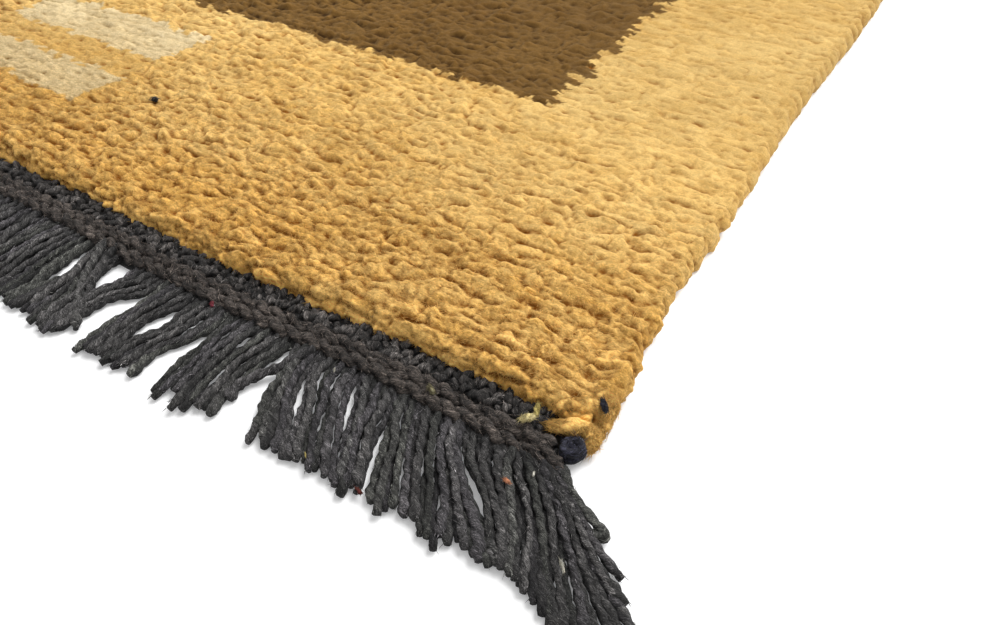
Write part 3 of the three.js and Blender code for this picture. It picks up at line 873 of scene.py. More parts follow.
# Painted light and shade on the yarn: how light its lower side and its top are painted, how its side leads
# over from one to the other, how much darker the groove between its plies is painted, how much lighter it is
# painted where it swells and darker where it thins, and the least and most
YARN_UNDERSIDE = 0.25
YARN_TOP = 1.35
YARN_SIDE_SHARE = 0.25
YARN_SIDE_SLOPE = 0.85
YARN_GROOVE_SHADE = 0.6
YARN_UNEVEN_SHADE = 0.4
YARN_SHADES = (0.2, 2)
# The yarn's unevenness: a fine one and two longer ones, which count a little less
YARN_FINE_AROUND = 1.6
YARN_LONG_SHARE = 0.8
YARN_LONG = 2.7
YARN_LONG_AROUND = 1.2
YARN_LONGEST = 7
# How far apart the fibres' places of two yarns with other phases lie
FIBRE_SHIFT = 40
LOWEST = 0.05


def yarn_frame(path):
    """The tangents of a path, its sideways and upward directions and the lengths along it."""
    tangent = unit(np.gradient(path, axis=0))
    sideways = unit(np.cross(tangent, UP + NUDGE))
    above = np.cross(sideways, tangent)
    along = np.concatenate([[0], np.cumsum(np.linalg.norm(np.diff(path, axis=0), axis=1))])
    return tangent, sideways, above, along


def add_yarn(
    shape, path, radius, sides, tint, phase=0.0, turn=YARN_TURN, rough=0.1, offset=PLY_OFFSET,
    underside=YARN_UNDERSIDE,
):
    """Adds a two-ply yarn along a path. turn is the length in which the plies go round once, and underside
    how light its lower side is painted, as painted shade; its top is painted lighter."""
    path = np.asarray(path, float)
    radius = np.broadcast_to(radius, len(path))
    _, sideways, above, along = yarn_frame(path)
    angle = np.linspace(0, TURN, sides, endpoint=False)[None, :]
    lengths = along[:, None]
    lobe = angle - TURN * lengths / turn - phase
    section = offset * np.abs(np.cos(lobe)) + np.sqrt(PLY_RADIUS ** 2 - (offset * np.sin(lobe)) ** 2)
    uneven = noise(lengths + phase * 9, YARN_FINE_AROUND * np.cos(angle) + phase, 50)
    around = YARN_LONG_AROUND * np.sin(angle) + phase
    uneven = uneven + YARN_LONG_SHARE * noise(lengths / YARN_LONG + phase * 5, around, 51)
    uneven = uneven + YARN_LONG_SHARE * noise(lengths / YARN_LONGEST + phase * 3, 0 * angle, 52)
    reach = radius[:, None] * section * (1 + rough * uneven)
    rings = path[:, None] + reach[..., None] * (
        np.cos(angle)[..., None] * sideways[:, None] + np.sin(angle)[..., None] * above[:, None]
    )
    rings[..., 2] = np.maximum(rings[..., 2], LOWEST)
    lengthwise = np.broadcast_to(lengths + FIBRE_SHIFT * phase, reach.shape)
    fibre = np.stack([lengthwise, reach * np.cos(lobe), reach * np.sin(lobe)], axis=-1)
    # Painted shade in the groove between the plies and on the lower side, painted light on the top and where
    # it swells
    groove = 1 - np.abs(np.cos(lobe))
    shade = (1 - YARN_GROOVE_SHADE * groove ** 2) * (1 + YARN_UNEVEN_SHADE * uneven)
    shade = shade * mix(underside, YARN_TOP, ease(YARN_SIDE_SHARE + YARN_SIDE_SLOPE * np.sin(angle)))
    tints = np.asarray(tint) * np.clip(shade, *YARN_SHADES)[..., None]
    shape.add(rings, ring_faces(*rings.shape[:2]), tints.reshape(-1, 3), fibre)


FIBRE_CURL = 0.2
FIBRE_CURL_SPREAD = 0.3
FIBRE_ROOT = 0.86


def add_fibres(
    shape, path, radius, count, tint, draw, length=2.2, width=0.15, out=0.25, spread=0.45, light=7.0
):
    """Adds loose fibres over a yarn, most of them nearly along it. out and spread say how far they point
    away from the yarn and around it, and light how many times as light as the tint the lightest ones are."""
    path = np.asarray(path, float)
    tangent, sideways, above, _ = yarn_frame(path)
    place = draw.integers(0, len(path) - 1, count)
    angle = draw.uniform(0.0, 0.5, (count, 1)) * TURN
    outward = np.cos(angle) * sideways[place] + np.sin(angle) * above[place]
    around = np.cross(tangent[place], outward)
    middle = mix(path[place], path[place + 1], draw.uniform(0, 1, (count, 1)))
    reach = np.broadcast_to(radius, len(path))[place][:, None]
    ways = tangent[place] * draw.choice([-1, 1], (count, 1)) + around * draw.normal(0, spread, (count, 1))
    ways = ways + outward * out * draw.uniform(0, 1.6, (count, 1))
    tints = np.asarray(tint) * light ** draw.uniform(0, 1, (count, 1))
    lengths = length * draw.uniform(0.5, 1.5, count)
    widths = width * draw.uniform(0.7, 1.3, count)
    curls = around * draw.normal(0, FIBRE_CURL_SPREAD, (count, 1)) - FIBRE_CURL * outward
    add_hairs(shape, middle + FIBRE_ROOT * reach * outward, ways, lengths, widths, tints, curls, 1)


def curve_through(controls, count):
    """A smooth Bezier curve drawn towards its control points."""
    controls = np.asarray(controls, float)
    share = np.linspace(0, 1, count)[:, None]
    degree = len(controls) - 1
    points = 0
    for place, control in enumerate(controls):
        weight = math.comb(degree, place) * share ** place * (1 - share) ** (degree - place)
        points = points + weight * control
    return points


def line_through(marks, count):
    """A smooth line through all its marks, in steps of equal share."""
    marks = np.asarray(marks, float)
    padded = np.concatenate([2 * marks[:1] - marks[1:2], marks, 2 * marks[-1:] - marks[-2:-1]])
    place = np.linspace(0, len(marks) - 1, count)
    span = np.minimum(place.astype(int), len(marks) - 2)
    t = (place - span)[:, None]
    a, b, c, d = (padded[span + step] for step in range(4))
    square = 2 * a - 5 * b + 4 * c - d
    cube = 3 * b - a - 3 * c + d
    return 0.5 * (2 * b + (c - a) * t + square * t ** 2 + cube * t ** 3)


# The shares of yarns that are cool and greenish, how softly these begin, and the least and the range of
# their lightness
COOL_FROM = 0.55
GREEN_FROM = 0.6
TINT_OVER = 0.3
TINT_LEAST = 0.9
TINT_RANGE = 1.0


def charcoal_tint(column, row):
    """One of the charcoal wool's shades, which vary from yarn to yarn."""
    cool = ease((cell_random(column, row, 83) - COOL_FROM) / TINT_OVER)
    green = ease((cell_random(column, row, 90) - GREEN_FROM) / TINT_OVER)
    tint = mix(mix(CHARCOAL, CHARCOAL_COOL, cool), CHARCOAL_GREEN, green)
    return tint * (TINT_LEAST + TINT_RANGE * cell_random(column, row, 84))


# The twined cord rows
CORD_YARN_RADIUS = 1.55
CORD_HELIX_RADIUS = 0.9
CORD_APART = 3.8
CORD_SHIFT = 1.6
CORD_SHIFT_REACH = 60
CORD_TURN = 12.0
CORD_HEIGHT = 2.6
CORD_TINT = 1.7 * CHARCOAL_WARM
CORD_HELIX_STRETCH = 1.2
CORD_CLEAR = 0.5
# The shares of the slant at which the outer and the inner row end, and how far round the inner row starts
CORD_SKEW_MIDDLE = 0.5
CORD_SKEW_STEP = 0.25
CORD_ROW_PHASE = 0.3
# Amounts of noise in the cords' turning, place, height, thickness and lightness, with their lengths
CORD_TURN_WAVES = ((0.1, 19, 60), (0.07, 7, 61))
CORD_PLACE_WAVE = (0.5, 24, 62)
CORD_HEIGHT_WAVE = (0.3, 17, 63)
CORD_THICKNESS_WAVE = (0.12, 5, 64)
CORD_PATCHES = (0.5, 3.5, 65)
CORD_LONG_PATCHES = (0.3, 11, 66)
# The cords' yarn: its turn, roughness and ply offset
CORD_YARN = (8.0, 0.22, 0.34)
CORD_TAIL_YARN = (8.0, 0.17, 0.34)
# Loose fibres: their length, width, pointing out and around, and lightness
CORD_FIBRES = (3.2, 0.15, 0.3, 0.7, 6.5)
CORD_TAIL_FIBRES = (2.6, 0.15, 0.3, 0.7, 6.5)


def wave(x, amount_length_layer, row):
    """Noise along the rug's end, by its amount, length and layer."""
    amount, length, layer = amount_length_layer
    return amount * noise(x / length, row, layer)


def add_cords(shape, x_lines, sides, hairs, draw):
    """Adds the outer and the inner cord row, each of two yarns that turn about each other."""
    for row, side in enumerate((-1, 1)):
        skew = CORD_SKEW * (CORD_SKEW_MIDDLE + CORD_SKEW_STEP * side) + CORD_CLEAR
        inside = (x_lines > CORD_LEFT_X + skew) & (x_lines < CORD_RIGHT_X - skew)
        x = x_lines[inside]
        for ply in range(2):
            wander = wave(x, CORD_TURN_WAVES[0], row) + wave(x, CORD_TURN_WAVES[1], row)
            angle = TURN * (x / CORD_TURN + ply / 2 + row * CORD_ROW_PHASE + wander)
            from_knob = np.minimum(CORD_RIGHT_X - x, x - CORD_LEFT_X)
            y = -HALF_LENGTH + CORD_ROWS_WIDTH / 2 + CORD_SHIFT * ease(from_knob / CORD_SHIFT_REACH)
            y = y + side * CORD_APART / 2 + front_wave(x)
            y = y + CORD_HELIX_RADIUS * CORD_HELIX_STRETCH * np.cos(angle) + wave(x, CORD_PLACE_WAVE, row)
            z = CORD_HEIGHT + CORD_HELIX_RADIUS * np.sin(angle) + wave(x, CORD_HEIGHT_WAVE, row)
            radius = CORD_YARN_RADIUS * (1 + wave(x, CORD_THICKNESS_WAVE, row * 5 + ply))
            path = np.stack([x, y, z], axis=-1)
            patches = 1 + wave(x, CORD_PATCHES, row + 0.5 * ply) + wave(x, CORD_LONG_PATCHES, row - 0.5 * ply)
            patchy = CORD_TINT * patches[:, None, None]
            add_yarn(shape, path, radius, sides, patchy, row + 0.4 * ply, *CORD_YARN)
            if hairs:
                add_fibres(shape, path, radius, hairs, CORD_TINT, draw, *CORD_FIBRES)


# The cord's tail beside the knob: how far each mark lies outside the cord's end, its y and its height
CORD_TAIL = (
    (-9.0, -443.6, 3.0), (-6.6, -445.4, 3.8), (-4.0, -446.8, 3.6), (-1.8, -448.2, 3.0), (-2.4, -450.0, 2.0),
)
STRIP_BOTTOM = 0.1


def add_strip(shape, x_low, x_high, y_low, y_high, height, tint):
    """A plain strip under the stitches or the cords, whose dark tint is painted shade between the yarns."""
    x, y = np.meshgrid(np.linspace(x_low, x_high, 60), np.linspace(y_low, y_high, 4))
    top = np.stack([x, y + front_wave(x), np.full(x.shape, height)], axis=-1)
    points, faces = slab(top, STRIP_BOTTOM)
    shape.add(points, faces, tint)


# The band's stitches
STITCH_PITCH = 2.5
STITCH_ROWS = 3
STITCH_RADIUS = 1.3
STITCH_SLANT = 1.2
STITCH_LEAN = 0.6
STITCH_STRAY_ALONG = 0.4
STITCH_STRAY_ACROSS = 0.7
STITCH_LIFT = 0.8
STITCH_TOP = 0.8
# A stitch's arch: the share of its slant and of the row's width at each point, and how far that is above it
STITCH_ARCH = ((-1, -0.65, -1.7), (-0.6, -0.3, 0.7), (0.6, 0.3, 0.7), (1, 0.65, -1.7))
STITCH_ROUND = 1.05
STITCH_THICKNESS = (0.75, 0.4)
STITCH_TINT = mix(CHARCOAL, CHARCOAL_WARM, 0.4)
STITCH_SHADE = (0.6, 2.0, 1.5)
STITCH_YARN = (5.0, 0.24, 0.34)
STITCH_FIBRES = (1.9, 0.15, 0.6, 0.8, 16.0)
CORD_COVER = 0.9


def add_stitches(shape, x_start, x_end, sides, steps, hairs, draw):
    """Adds the band's rows of small arched stitches, each with its own slant, height and shade."""
    row_width = (BAND_WIDTH - CORD_COVER) / STITCH_ROWS
    thinnest, thicker = STITCH_THICKNESS
    darkest, lighter, rareness = STITCH_SHADE
    for row in range(STITCH_ROWS):
        middle = BAND_OUT_Y + CORD_COVER + row_width * (row + 0.5)
        for place in range(math.floor(x_start / STITCH_PITCH), math.ceil(x_end / STITCH_PITCH)):
            slant = STITCH_SLANT * stray(place, row, 70) + (STITCH_LEAN if place % 2 else -STITCH_LEAN)
            x = (place + 0.5 + STITCH_STRAY_ALONG * stray(place, row, 71)) * STITCH_PITCH
            y = middle + front_wave(x) + STITCH_STRAY_ACROSS * stray(place, row, 72)
            top = BAND_HEIGHT - STITCH_RADIUS * STITCH_TOP + STITCH_LIFT * stray(place, row, 73)
            controls = [(x + slant * a, y + row_width * b, top + up) for a, b, up in STITCH_ARCH]
            share = np.linspace(-1, 1, steps)
            thickness = thinnest + thicker * cell_random(place, row, 74)
            radius = STITCH_RADIUS * np.sqrt(STITCH_ROUND - share ** 2) * thickness
            tint = STITCH_TINT * (darkest + lighter * cell_random(place, row, 75) ** rareness)
            path = curve_through(controls, steps)
            add_yarn(shape, path, radius, sides, tint, place * 0.7 + row, *STITCH_YARN)
            if hairs:
                add_fibres(shape, path, radius, hairs, tint, draw, *STITCH_FIBRES)


# The near band and cords are finer right of here
FINE_LEFT = 50
FINE_STITCHES = (8, 7, 6)
PLAIN_STITCHES = (5, 4, 0)
FINE_CORD_STEP = 0.75
FINE_CORDS = (10, 900)
PLAIN_CORD_STEP = 1.8
PLAIN_CORDS = (6, 0)
BAND_CLEAR = 3
BAND_STRIP_DROP = 1.6
# Dark strips under the stitches and the cords: painted shade that shows in the gaps between the yarns
SHADE_STRIP = CHARCOAL * 0.35
# The strips under the cords, a low one and one under the slanted end: how far each one's outer and inner
# side lie in, and its height
CORD_STRIPS = ((0.8, 0, 1.6), (2.5, 1, 2.2))
CORD_STRIP_END = 2


def make_end(turned, material):
    """The band and the cord rows of one end, finest at the near corner."""
    draw = np.random.default_rng(21)
    band_right = right_edge(BAND_OUT_Y) - SELVEDGE_FOOT_WIDTH - PIECE_GAP
    band_left = -right_edge(-BAND_OUT_Y) + SELVEDGE_FOOT_WIDTH + PIECE_GAP
    band = Shape()
    cords = Shape()
    if turned:
        add_stitches(band, band_left, band_right, *PLAIN_STITCHES, draw)
        add_cords(cords, np.arange(CORD_LEFT_X, CORD_RIGHT_X, PLAIN_CORD_STEP), *PLAIN_CORDS, draw)
    else:
        add_stitches(band, FINE_LEFT, band_right - BAND_CLEAR, *FINE_STITCHES, draw)
        add_stitches(band, band_left, FINE_LEFT, *PLAIN_STITCHES, draw)
        add_cords(cords, np.arange(FINE_LEFT, CORD_RIGHT_X, FINE_CORD_STEP), *FINE_CORDS, draw)
        add_cords(cords, np.arange(CORD_LEFT_X, FINE_LEFT + 1, PLAIN_CORD_STEP), *PLAIN_CORDS, draw)
    strip_height = BAND_HEIGHT - BAND_STRIP_DROP
    add_strip(band, band_left, band_right, BAND_OUT_Y, BAND_OUT_Y + BAND_WIDTH, strip_height, SHADE_STRIP)
    for end_x, side in ((CORD_LEFT_X, -1), (CORD_RIGHT_X, 1)):
        tail = line_through([(end_x + side * out, y, z) for out, y, z in CORD_TAIL], 30)
        add_yarn(cords, tail, CORD_YARN_RADIUS, 10, CORD_TINT, 2.0, *CORD_TAIL_YARN)
        add_fibres(cords, tail, CORD_YARN_RADIUS, 40, CORD_TINT, draw, *CORD_TAIL_FIBRES)
    ends = (CORD_LEFT_X + CORD_SKEW, CORD_RIGHT_X - CORD_SKEW, CORD_RIGHT_X - CORD_STRIP_END)
    for place, (outer, inner, height) in enumerate(CORD_STRIPS):
        left, right = ends[place:place + 2]
        add_strip(cords, left, right, outer - HALF_LENGTH, CORD_IN_Y - inner, height, SHADE_STRIP)
    end = "back" if turned else "front"
    return [
        band.build("end_band_" + end + "_stitches", material, "charcoal_wool", ["end_band_" + end], turned),
        cords.build("cord_rows_" + end, material, "charcoal_wool", ["fringe_" + end], turned),
    ]


# The fringe
STRAND_RADIUS = 1.4
STRAND_REST = STRAND_RADIUS + LOWEST
# A strand's thickness: thicker just before its tip and at its root, thinner at the tip, and by chance
STRAND_FRAY = (0.22, 0.82, 0.12)
STRAND_TIP = (0.35, 0.96, 0.04)
STRAND_ROOT = (0.2, 0.45)
STRAND_THICKNESS = (0.86, 0.24)
STRAND_STEPS = 42
# A strand's small bends: how far they go, the share of its length until they do, and their number
STRAND_WAVE = (0.4, 0.4, 7)
STRAND_TURN_SPREAD = 2
STRAND_ROUGHNESS = 0.17
STRAND_PHASE_STEP = 1.7
# How dark a strand is painted under the cords, a painted shadow, and the shares of its length in which it
# lightens
STRAND_ROOT_SHADOW = 0.35
STRAND_ROOT_FROM = 0.06
STRAND_ROOT_OVER = 0.24
STRAND_FIBRES = (1.9, 0.16, 0.2, 0.6)
STRAND_TIP_FIBRES = (1.4, 0.22, 0.4)
STRAND_TIP_REACH = 0.3
# How far in and how high strands start and leave the cords, and how much of their lift they have there
ROOT_DEPTH = 4
ROOT_HEIGHTS = (1.2, 1.6)
ROOT_LIFTS = (0.2, 0.6)
UPPER_LIFT = 1.7
FINE_REACH = 250
ROOT_STRAY = 0.5
STRAY = 2.0
TIP_STRAY = 1.5
REACH_STRAY = 2.2
# The strands of the corner: how thick they are, how much higher than their marks they are, and how much
# lighter they are painted, painted light; and the lower ones between them, how much darker they are painted,
# painted shade, at which shares and how far out
CORNER_SHARE = 0.84
CORNER_LIFT = 0.5
CORNER_PAINTED_LIGHT = 1.15
CORNER_ROOT_HEIGHT = 2.8
LOWER_PAINTED_SHADE = 0.5
LOWER_SHARES = (0.32, 0.68)
FIRST_LOWER_SHIFT = 0.5
LOWER_SHIFT = -1.5

# Strands that go their own way at the front's right corner, from the innermost to the outermost: the
# height of each one's middle, and its marks from root to tip. The outermost turns back on itself.
CORNER_STRANDS = (
    (2.2, ((286.0, -448.6), (287.6, -454.0), (292.0, -459.4),
           (296.6, -466.0), (299.6, -471.4), (302.2, -476.8))),
    (2.9, ((287.8, -448.6), (291.1, -454.4), (295.6, -458.4),
           (299.0, -462.8), (302.6, -469.4), (306.8, -478.6))),
    (2.6, ((290.0, -448.4), (294.3, -453.6), (300.0, -460.2),
           (304.2, -465.6), (307.6, -471.2), (315.6, -482.5))),
    (3.0, ((292.0, -448.4), (296.4, -453.2), (302.2, -459.2),
           (306.4, -464.8), (310.4, -470.8), (318.2, -481.5))),
    (2.7, ((294.0, -448.2), (298.4, -452.9), (304.2, -458.4),
           (309.4, -464.0), (314.8, -470.6), (322.6, -480.4))),
    (3.1, ((295.6, -448.0), (299.0, -451.8), (305.0, -456.9),
           (311.0, -462.8), (317.0, -468.6), (327.4, -478.4))),
    (2.6, ((297.0, -447.8), (300.2, -451.2), (306.8, -456.4),
           (313.4, -461.8), (319.6, -466.8), (331.4, -475.4))),
    (2.9, ((298.0, -447.6), (301.0, -450.9), (306.8, -455.2),
           (312.0, -459.2), (317.4, -462.4), (323.2, -464.9))),
    (3.1, ((299.0, -447.2), (302.2, -450.4), (306.6, -453.4),
           (311.6, -455.8), (315.4, -457.8), (311.4, -458.8))),
)
# Single strands that cross their neighbours
LOOSE_STRANDS = (
    (2.6, ((219.5, -448.0), (220.0, -455.0), (220.8, -461.4),
           (222.4, -466.8), (224.6, -471.4), (226.8, -475.6))),
    (3.4, ((221.5, -448.0), (219.8, -453.6), (217.8, -458.6),
           (214.8, -463.0), (212.8, -467.8), (213.2, -472.4))),
    (4.0, ((131.3, -445.6), (133.8, -449.7), (136.5, -454.8),
           (140.7, -461.9), (147.9, -469.4), (156.1, -476.4))),
    (3.8, ((137.2, -445.8), (138.6, -450.4), (141.1, -455.4),
           (143.6, -460.2), (146.9, -465.2), (151.6, -472.3))),
)

# Lines that the near strands follow, from right to left: whether more strands lie between each one and the
# next, and where it crosses the levels. The floor shows between two lines without strands between them.
GUIDE_LEVELS = (-484, -477, -470, -463, -456, -449, -442)
GUIDES = (
    (True, (284.0, 287.5, 293.0, 297.6, 301.2)), (False, (273.0, 277.2, 286.8, 292.6, 298.4)),
    (True, (271.4, 275.0, 281.9, 290.4, 297.0)), (True, (268.6, 272.0, 276.8, 281.9, 286.6)),
    (True, (257.5, 261.3, 265.3, 269.4, 273.3)), (False, (252.0, 255.4, 258.0, 261.0, 264.6)),
    (True, (250.4, 252.3, 254.2, 256.9, 260.5)), (False, (239.4, 243.1, 247.4, 251.2, 254.5)),
    (True, (237.8, 238.9, 243.0, 247.6, 252.0)), (False, (225.4, 227.8, 231.8, 236.0, 239.5)),
    (True, (223.8, 225.2, 227.5, 231.6, 236.4)), (False, (216.0, 219.0, 221.4, 223.8, 226.5)),
    (True, (213.8, 213.0, 211.7, 212.4, 213.6)), (False, (191.8, 192.0, 192.4, 193.0, 193.9)),
    (True, (190.2, 189.6, 187.9, 184.8, 184.2)), (False, (177.5, 177.9, 177.6, 175.6, 173.8)),
    (True, (175.9, 174.2, 171.5, 171.4, 172.0)), (False, (163.4, 164.0, 163.9, 163.4, 163.3)),
    (True, (161.8, 160.6, 154.8, 152.4, 152.0)), (False, (150.8, 149.6, 147.9, 148.2, 148.8)),
    (True, (140.4, 140.6, 144.2, 146.4, 147.6)), (False, (141.0, 141.4, 143.2, 143.6, 143.6)),
    (True, (139.0, 135.4, 138.6, 141.4, 142.2)), (False, (129.8, 132.6, 133.6, 131.2, 130.2)),
    (True, (127.2, 126.2, 127.0, 128.8, 128.6)), (False, (102.6, 102.0, 100.8, 100.0, 99.5)),
    (False, (101.0, 97.2, 96.4, 96.2, 96.0)),
)
GUIDED_SPACING = 2.0
GUIDED_CROWN = 0.5
# The upper strands between the guides are painted lighter: painted light
GUIDED_UPPER_PAINTED_LIGHT = 1.1
GUIDED_REACH_STRAY = 2.0
GUIDED_ROOT_LEAN = 0.3
# Where the guided strands' marks lie between root and tip, and how much of their lift they have there
GUIDED_WALL = 0.5
GUIDED_MARKS = (-456, -463, -470)
GUIDED_LIFTS = (1.1, 1.0, 0.7, 0.3)
THIN_LEFT_OF = 215
THIN_SPACING = 1.75
THIN_SHARE = 0.86
THICK_SHARE = 0.93
SHORT_RIGHT_OF = 266
SHORT_REACH = 26.5
GUIDED_STRAY = 0.7
GUIDED_LEFT = 99.5


def guided_lines():
    """Where each guided strand crosses the levels, how high it lies on its bunch, from 0 to 1, and its
    shade: painted light on the upper strands between the guides, painted shade on the lower ones."""
    crossings = np.array([line for _, line in GUIDES])
    before = (1 + GUIDED_ROOT_LEAN) * crossings[:, :1] - GUIDED_ROOT_LEAN * crossings[:, 1:2]
    beyond = 2 * crossings[:, -1:] - crossings[:, -2:-1]
    crossings = np.column_stack([before, crossings, beyond])[:, ::-1]
    lines = []
    for number, (filled, _) in enumerate(GUIDES):
        lines.append((crossings[number], 0.0, 1.0))
        if filled:
            widest = np.abs(crossings[number, 1:-1] - crossings[number + 1, 1:-1]).max()
            thin = crossings[number, -2] < THIN_LEFT_OF
            spacing = THIN_SPACING if thin else GUIDED_SPACING
            least_crown = 0.0 if thin else GUIDED_CROWN
            between = max(1, round(widest / spacing))
            for place in range(1, between):
                line = mix(crossings[number], crossings[number + 1], place / between)
                if place % 2:
                    crown = mix(least_crown, 1.0, math.sin(TURN / 2 * place / between))
                    lines.append((line, crown, GUIDED_UPPER_PAINTED_LIGHT))
                else:
                    lines.append((line, 0.0, LOWER_PAINTED_SHADE))
    return lines


def guided_path(line, reach, crown, number):
    """A near strand's path along its line, from inside the cord rows to its tip."""
    root_x = np.interp(-HALF_LENGTH, GUIDE_LEVELS, line)
    wall_y = front_wave(root_x) - HALF_LENGTH
    lift = UPPER_LIFT * crown
    y = np.array([wall_y + ROOT_DEPTH, wall_y - GUIDED_WALL, *GUIDED_MARKS, wall_y - reach])
    x = np.interp(y, GUIDE_LEVELS, line)
    for place in (2, 3, 4, 5):
        x[place] += GUIDED_STRAY * stray(number, place, 80)
    z = [height + share * lift for height, share in zip(ROOT_HEIGHTS, ROOT_LIFTS)]
    z += [STRAND_REST + share * lift for share in GUIDED_LIFTS]
    return line_through(np.column_stack([x, y, z]), STRAND_STEPS)


def strand_route(root_x, tip_x, reach, upper, number):
    """A strand's control points, from inside the cord rows to its tip."""
    wall_y = front_wave(root_x) - HALF_LENGTH
    lift = UPPER_LIFT if upper else 0
    shift = tip_x - root_x
    upper_stray = STRAY * stray(number, 3, 80)
    lower_stray = STRAY * stray(number, 4, 81)
    root_heights = [height + share * lift for height, share in zip(ROOT_HEIGHTS, ROOT_LIFTS)]
    return [
        (root_x, wall_y + ROOT_DEPTH, root_heights[0]),
        (root_x + 0.05 * shift, wall_y, root_heights[1]),
        (root_x + STRAND_BEND * shift + upper_stray, wall_y - STRAND_BEND * reach, STRAND_REST + 1.2 * lift),
        (root_x + 0.65 * shift + lower_stray, wall_y - 0.66 * reach, STRAND_REST + 0.9 * lift),
        (tip_x, wall_y - reach, STRAND_REST + 0.45 * lift),
    ]


def add_strand(shape, path, number, sides, hairs, draw, thickness=1.0, shade=1.0):
    """Adds a strand along a path, frayed at its tip and with a painted shadow at its root."""
    share = np.linspace(0, 1, len(path))
    fray, fray_from, fray_over = STRAND_FRAY
    tip, tip_from, tip_over = STRAND_TIP
    frayed = 1 + fray * ease((share - fray_from) / fray_over) - tip * ease((share - tip_from) / tip_over)
    root, root_over = STRAND_ROOT
    frayed = frayed + root * ease(1 - share / root_over)
    thinnest, thicker = STRAND_THICKNESS
    radius = thickness * STRAND_RADIUS * frayed * (thinnest + thicker * cell_random(number, 1, 82))
    # shade is painted light on upper strands and painted shade on lower ones
    tint = shade * charcoal_tint(number, 2)
    bend, bend_over, bends = STRAND_WAVE
    path = path.copy()
    path[:, 0] += bend * ease(share / bend_over) * noise(share * bends, number, 85)
    turn = YARN_TURN + STRAND_TURN_SPREAD * cell_random(number, 5, 86)
    # Painted shadow under the cords, at the strand's root
    lightened = ease((share - STRAND_ROOT_FROM) / STRAND_ROOT_OVER)
    root_shade = mix(STRAND_ROOT_SHADOW, 1.0, lightened)[:, None, None]
    phase = number * STRAND_PHASE_STEP
    add_yarn(shape, path, radius, sides, tint * root_shade, phase, turn, rough=STRAND_ROUGHNESS)
    if hairs:
        add_fibres(shape, path, radius, hairs, tint, draw, *STRAND_FIBRES)
        tip_path = np.stack([path[-3], path[-1] + STRAND_TIP_REACH * (path[-1] - path[-2])])
        add_fibres(shape, tip_path, radius[-1], 10, tint, draw, *STRAND_TIP_FIBRES)


def add_marked_strand(shape, height, marks, number, draw, thickness=1.0, shade=1.0):
    """Adds a strand through its marks, which rises to a height behind the cords and sinks to its tip."""
    levels = (CORNER_ROOT_HEIGHT, height, STRAND_REST)
    heights = np.interp(np.arange(len(marks)), (0, 1, len(marks) - 1), levels)
    path = line_through([(x, y, z) for (x, y), z in zip(marks, heights)], 56)
    add_strand(shape, path, number, 9, 40, draw, thickness, shade)


def add_corner_strands(shape, draw):
    """The marked strands of the corner, and under each two of them a lower one between them."""
    # The corner's strands are painted lighter, painted light, and the lower ones between them darker, painted
    # shade
    for number, (height, marks) in enumerate(CORNER_STRANDS):
        height = height + CORNER_LIFT
        add_marked_strand(shape, height, marks, 400 + number, draw, CORNER_SHARE, CORNER_PAINTED_LIGHT)
    lowest = CORNER_SHARE * STRAND_RADIUS + LOWEST
    for number, (first, second) in enumerate(zip(CORNER_STRANDS[:-2], CORNER_STRANDS[1:-1])):
        for step, share in enumerate(LOWER_SHARES):
            between = mix(np.array(first[1]), np.array(second[1]), share)
            between[:, 1] += FIRST_LOWER_SHIFT if number < 2 else LOWER_SHIFT
            lower = 420 + 2 * number + step
            add_marked_strand(shape, lowest, between, lower, draw, CORNER_SHARE, LOWER_PAINTED_SHADE)
    for number, (height, marks) in enumerate(LOOSE_STRANDS):
        add_marked_strand(shape, height, marks, 440 + number, draw)


def bunched(from_right):
    """How far a strand's tip lies to the right of its root, and its reach, by its bunch."""
    untils = np.array([bunch[0] for bunch in FRINGE_BUNCHES])
    place = int(np.searchsorted(untils, from_right, side="right"))
    until, sweep_right, sweep_left, gather, reach_right, reach_left = FRINGE_BUNCHES[place]
    start = untils[place - 1] if place else 0
    share = (from_right - start) / (until - start)
    from_middle = (share - 0.5) * (until - start)
    sweep = mix(sweep_right, sweep_left, share) + gather * from_middle
    index = from_right / STRAND_PITCH
    return sweep, mix(reach_right, reach_left, share) + STRAND_RAGGEDNESS * math.sin(index * UNEVEN_PHASE)


def make_fringe(turned, material):
    """One end's fringe in two pieces. The front's right part follows the guides and the corner's marks."""
    draw = np.random.default_rng(31)
    right = Shape()
    left = Shape()
    rightmost = CORD_RIGHT_X - STRAND_INSET
    for half in range(2 * STRANDS - 1):
        index = half / 2
        from_right = index * STRAND_PITCH
        root_x = rightmost - from_right + ROOT_STRAY * stray(half, 8, 89)
        if not turned and root_x > GUIDED_LEFT:
            continue
        sweep, reach = bunched(from_right)
        sweep = sweep + TIP_STRAY * stray(half, 7, 87)
        reach = reach + REACH_STRAY * stray(half, 6, 88)
        route = strand_route(root_x, root_x + sweep, reach, half % 2 == 1, half)
        near = from_right < FINE_REACH
        if near and not turned:
            add_strand(right, curve_through(route, STRAND_STEPS), half, 9, 44, draw)
        else:
            add_strand(right if near else left, curve_through(route, 14), half, 5, 0, draw)
    if not turned:
        for number, (line, crown, shade) in enumerate(guided_lines()):
            _, reach = bunched(max(0, rightmost - line[-2]))
            if line[-2] > SHORT_RIGHT_OF:
                reach = min(reach, SHORT_REACH)
            reach = reach + GUIDED_REACH_STRAY * stray(number, 6, 88)
            path = guided_path(line, reach, crown, number)
            thickness = THIN_SHARE if line[-2] < THIN_LEFT_OF else THICK_SHARE
            add_strand(right, path, 500 + number, 9, 44, draw, thickness, shade)
        add_corner_strands(right, draw)
    node = "fringe_back" if turned else "fringe_front"
    names = ("left", "right") if turned else ("right", "left")
    return [
        shape.build(node + "_" + name + "_strands", material, "charcoal_wool", [node], turned)
        for shape, name in zip((right, left), names)
    ]


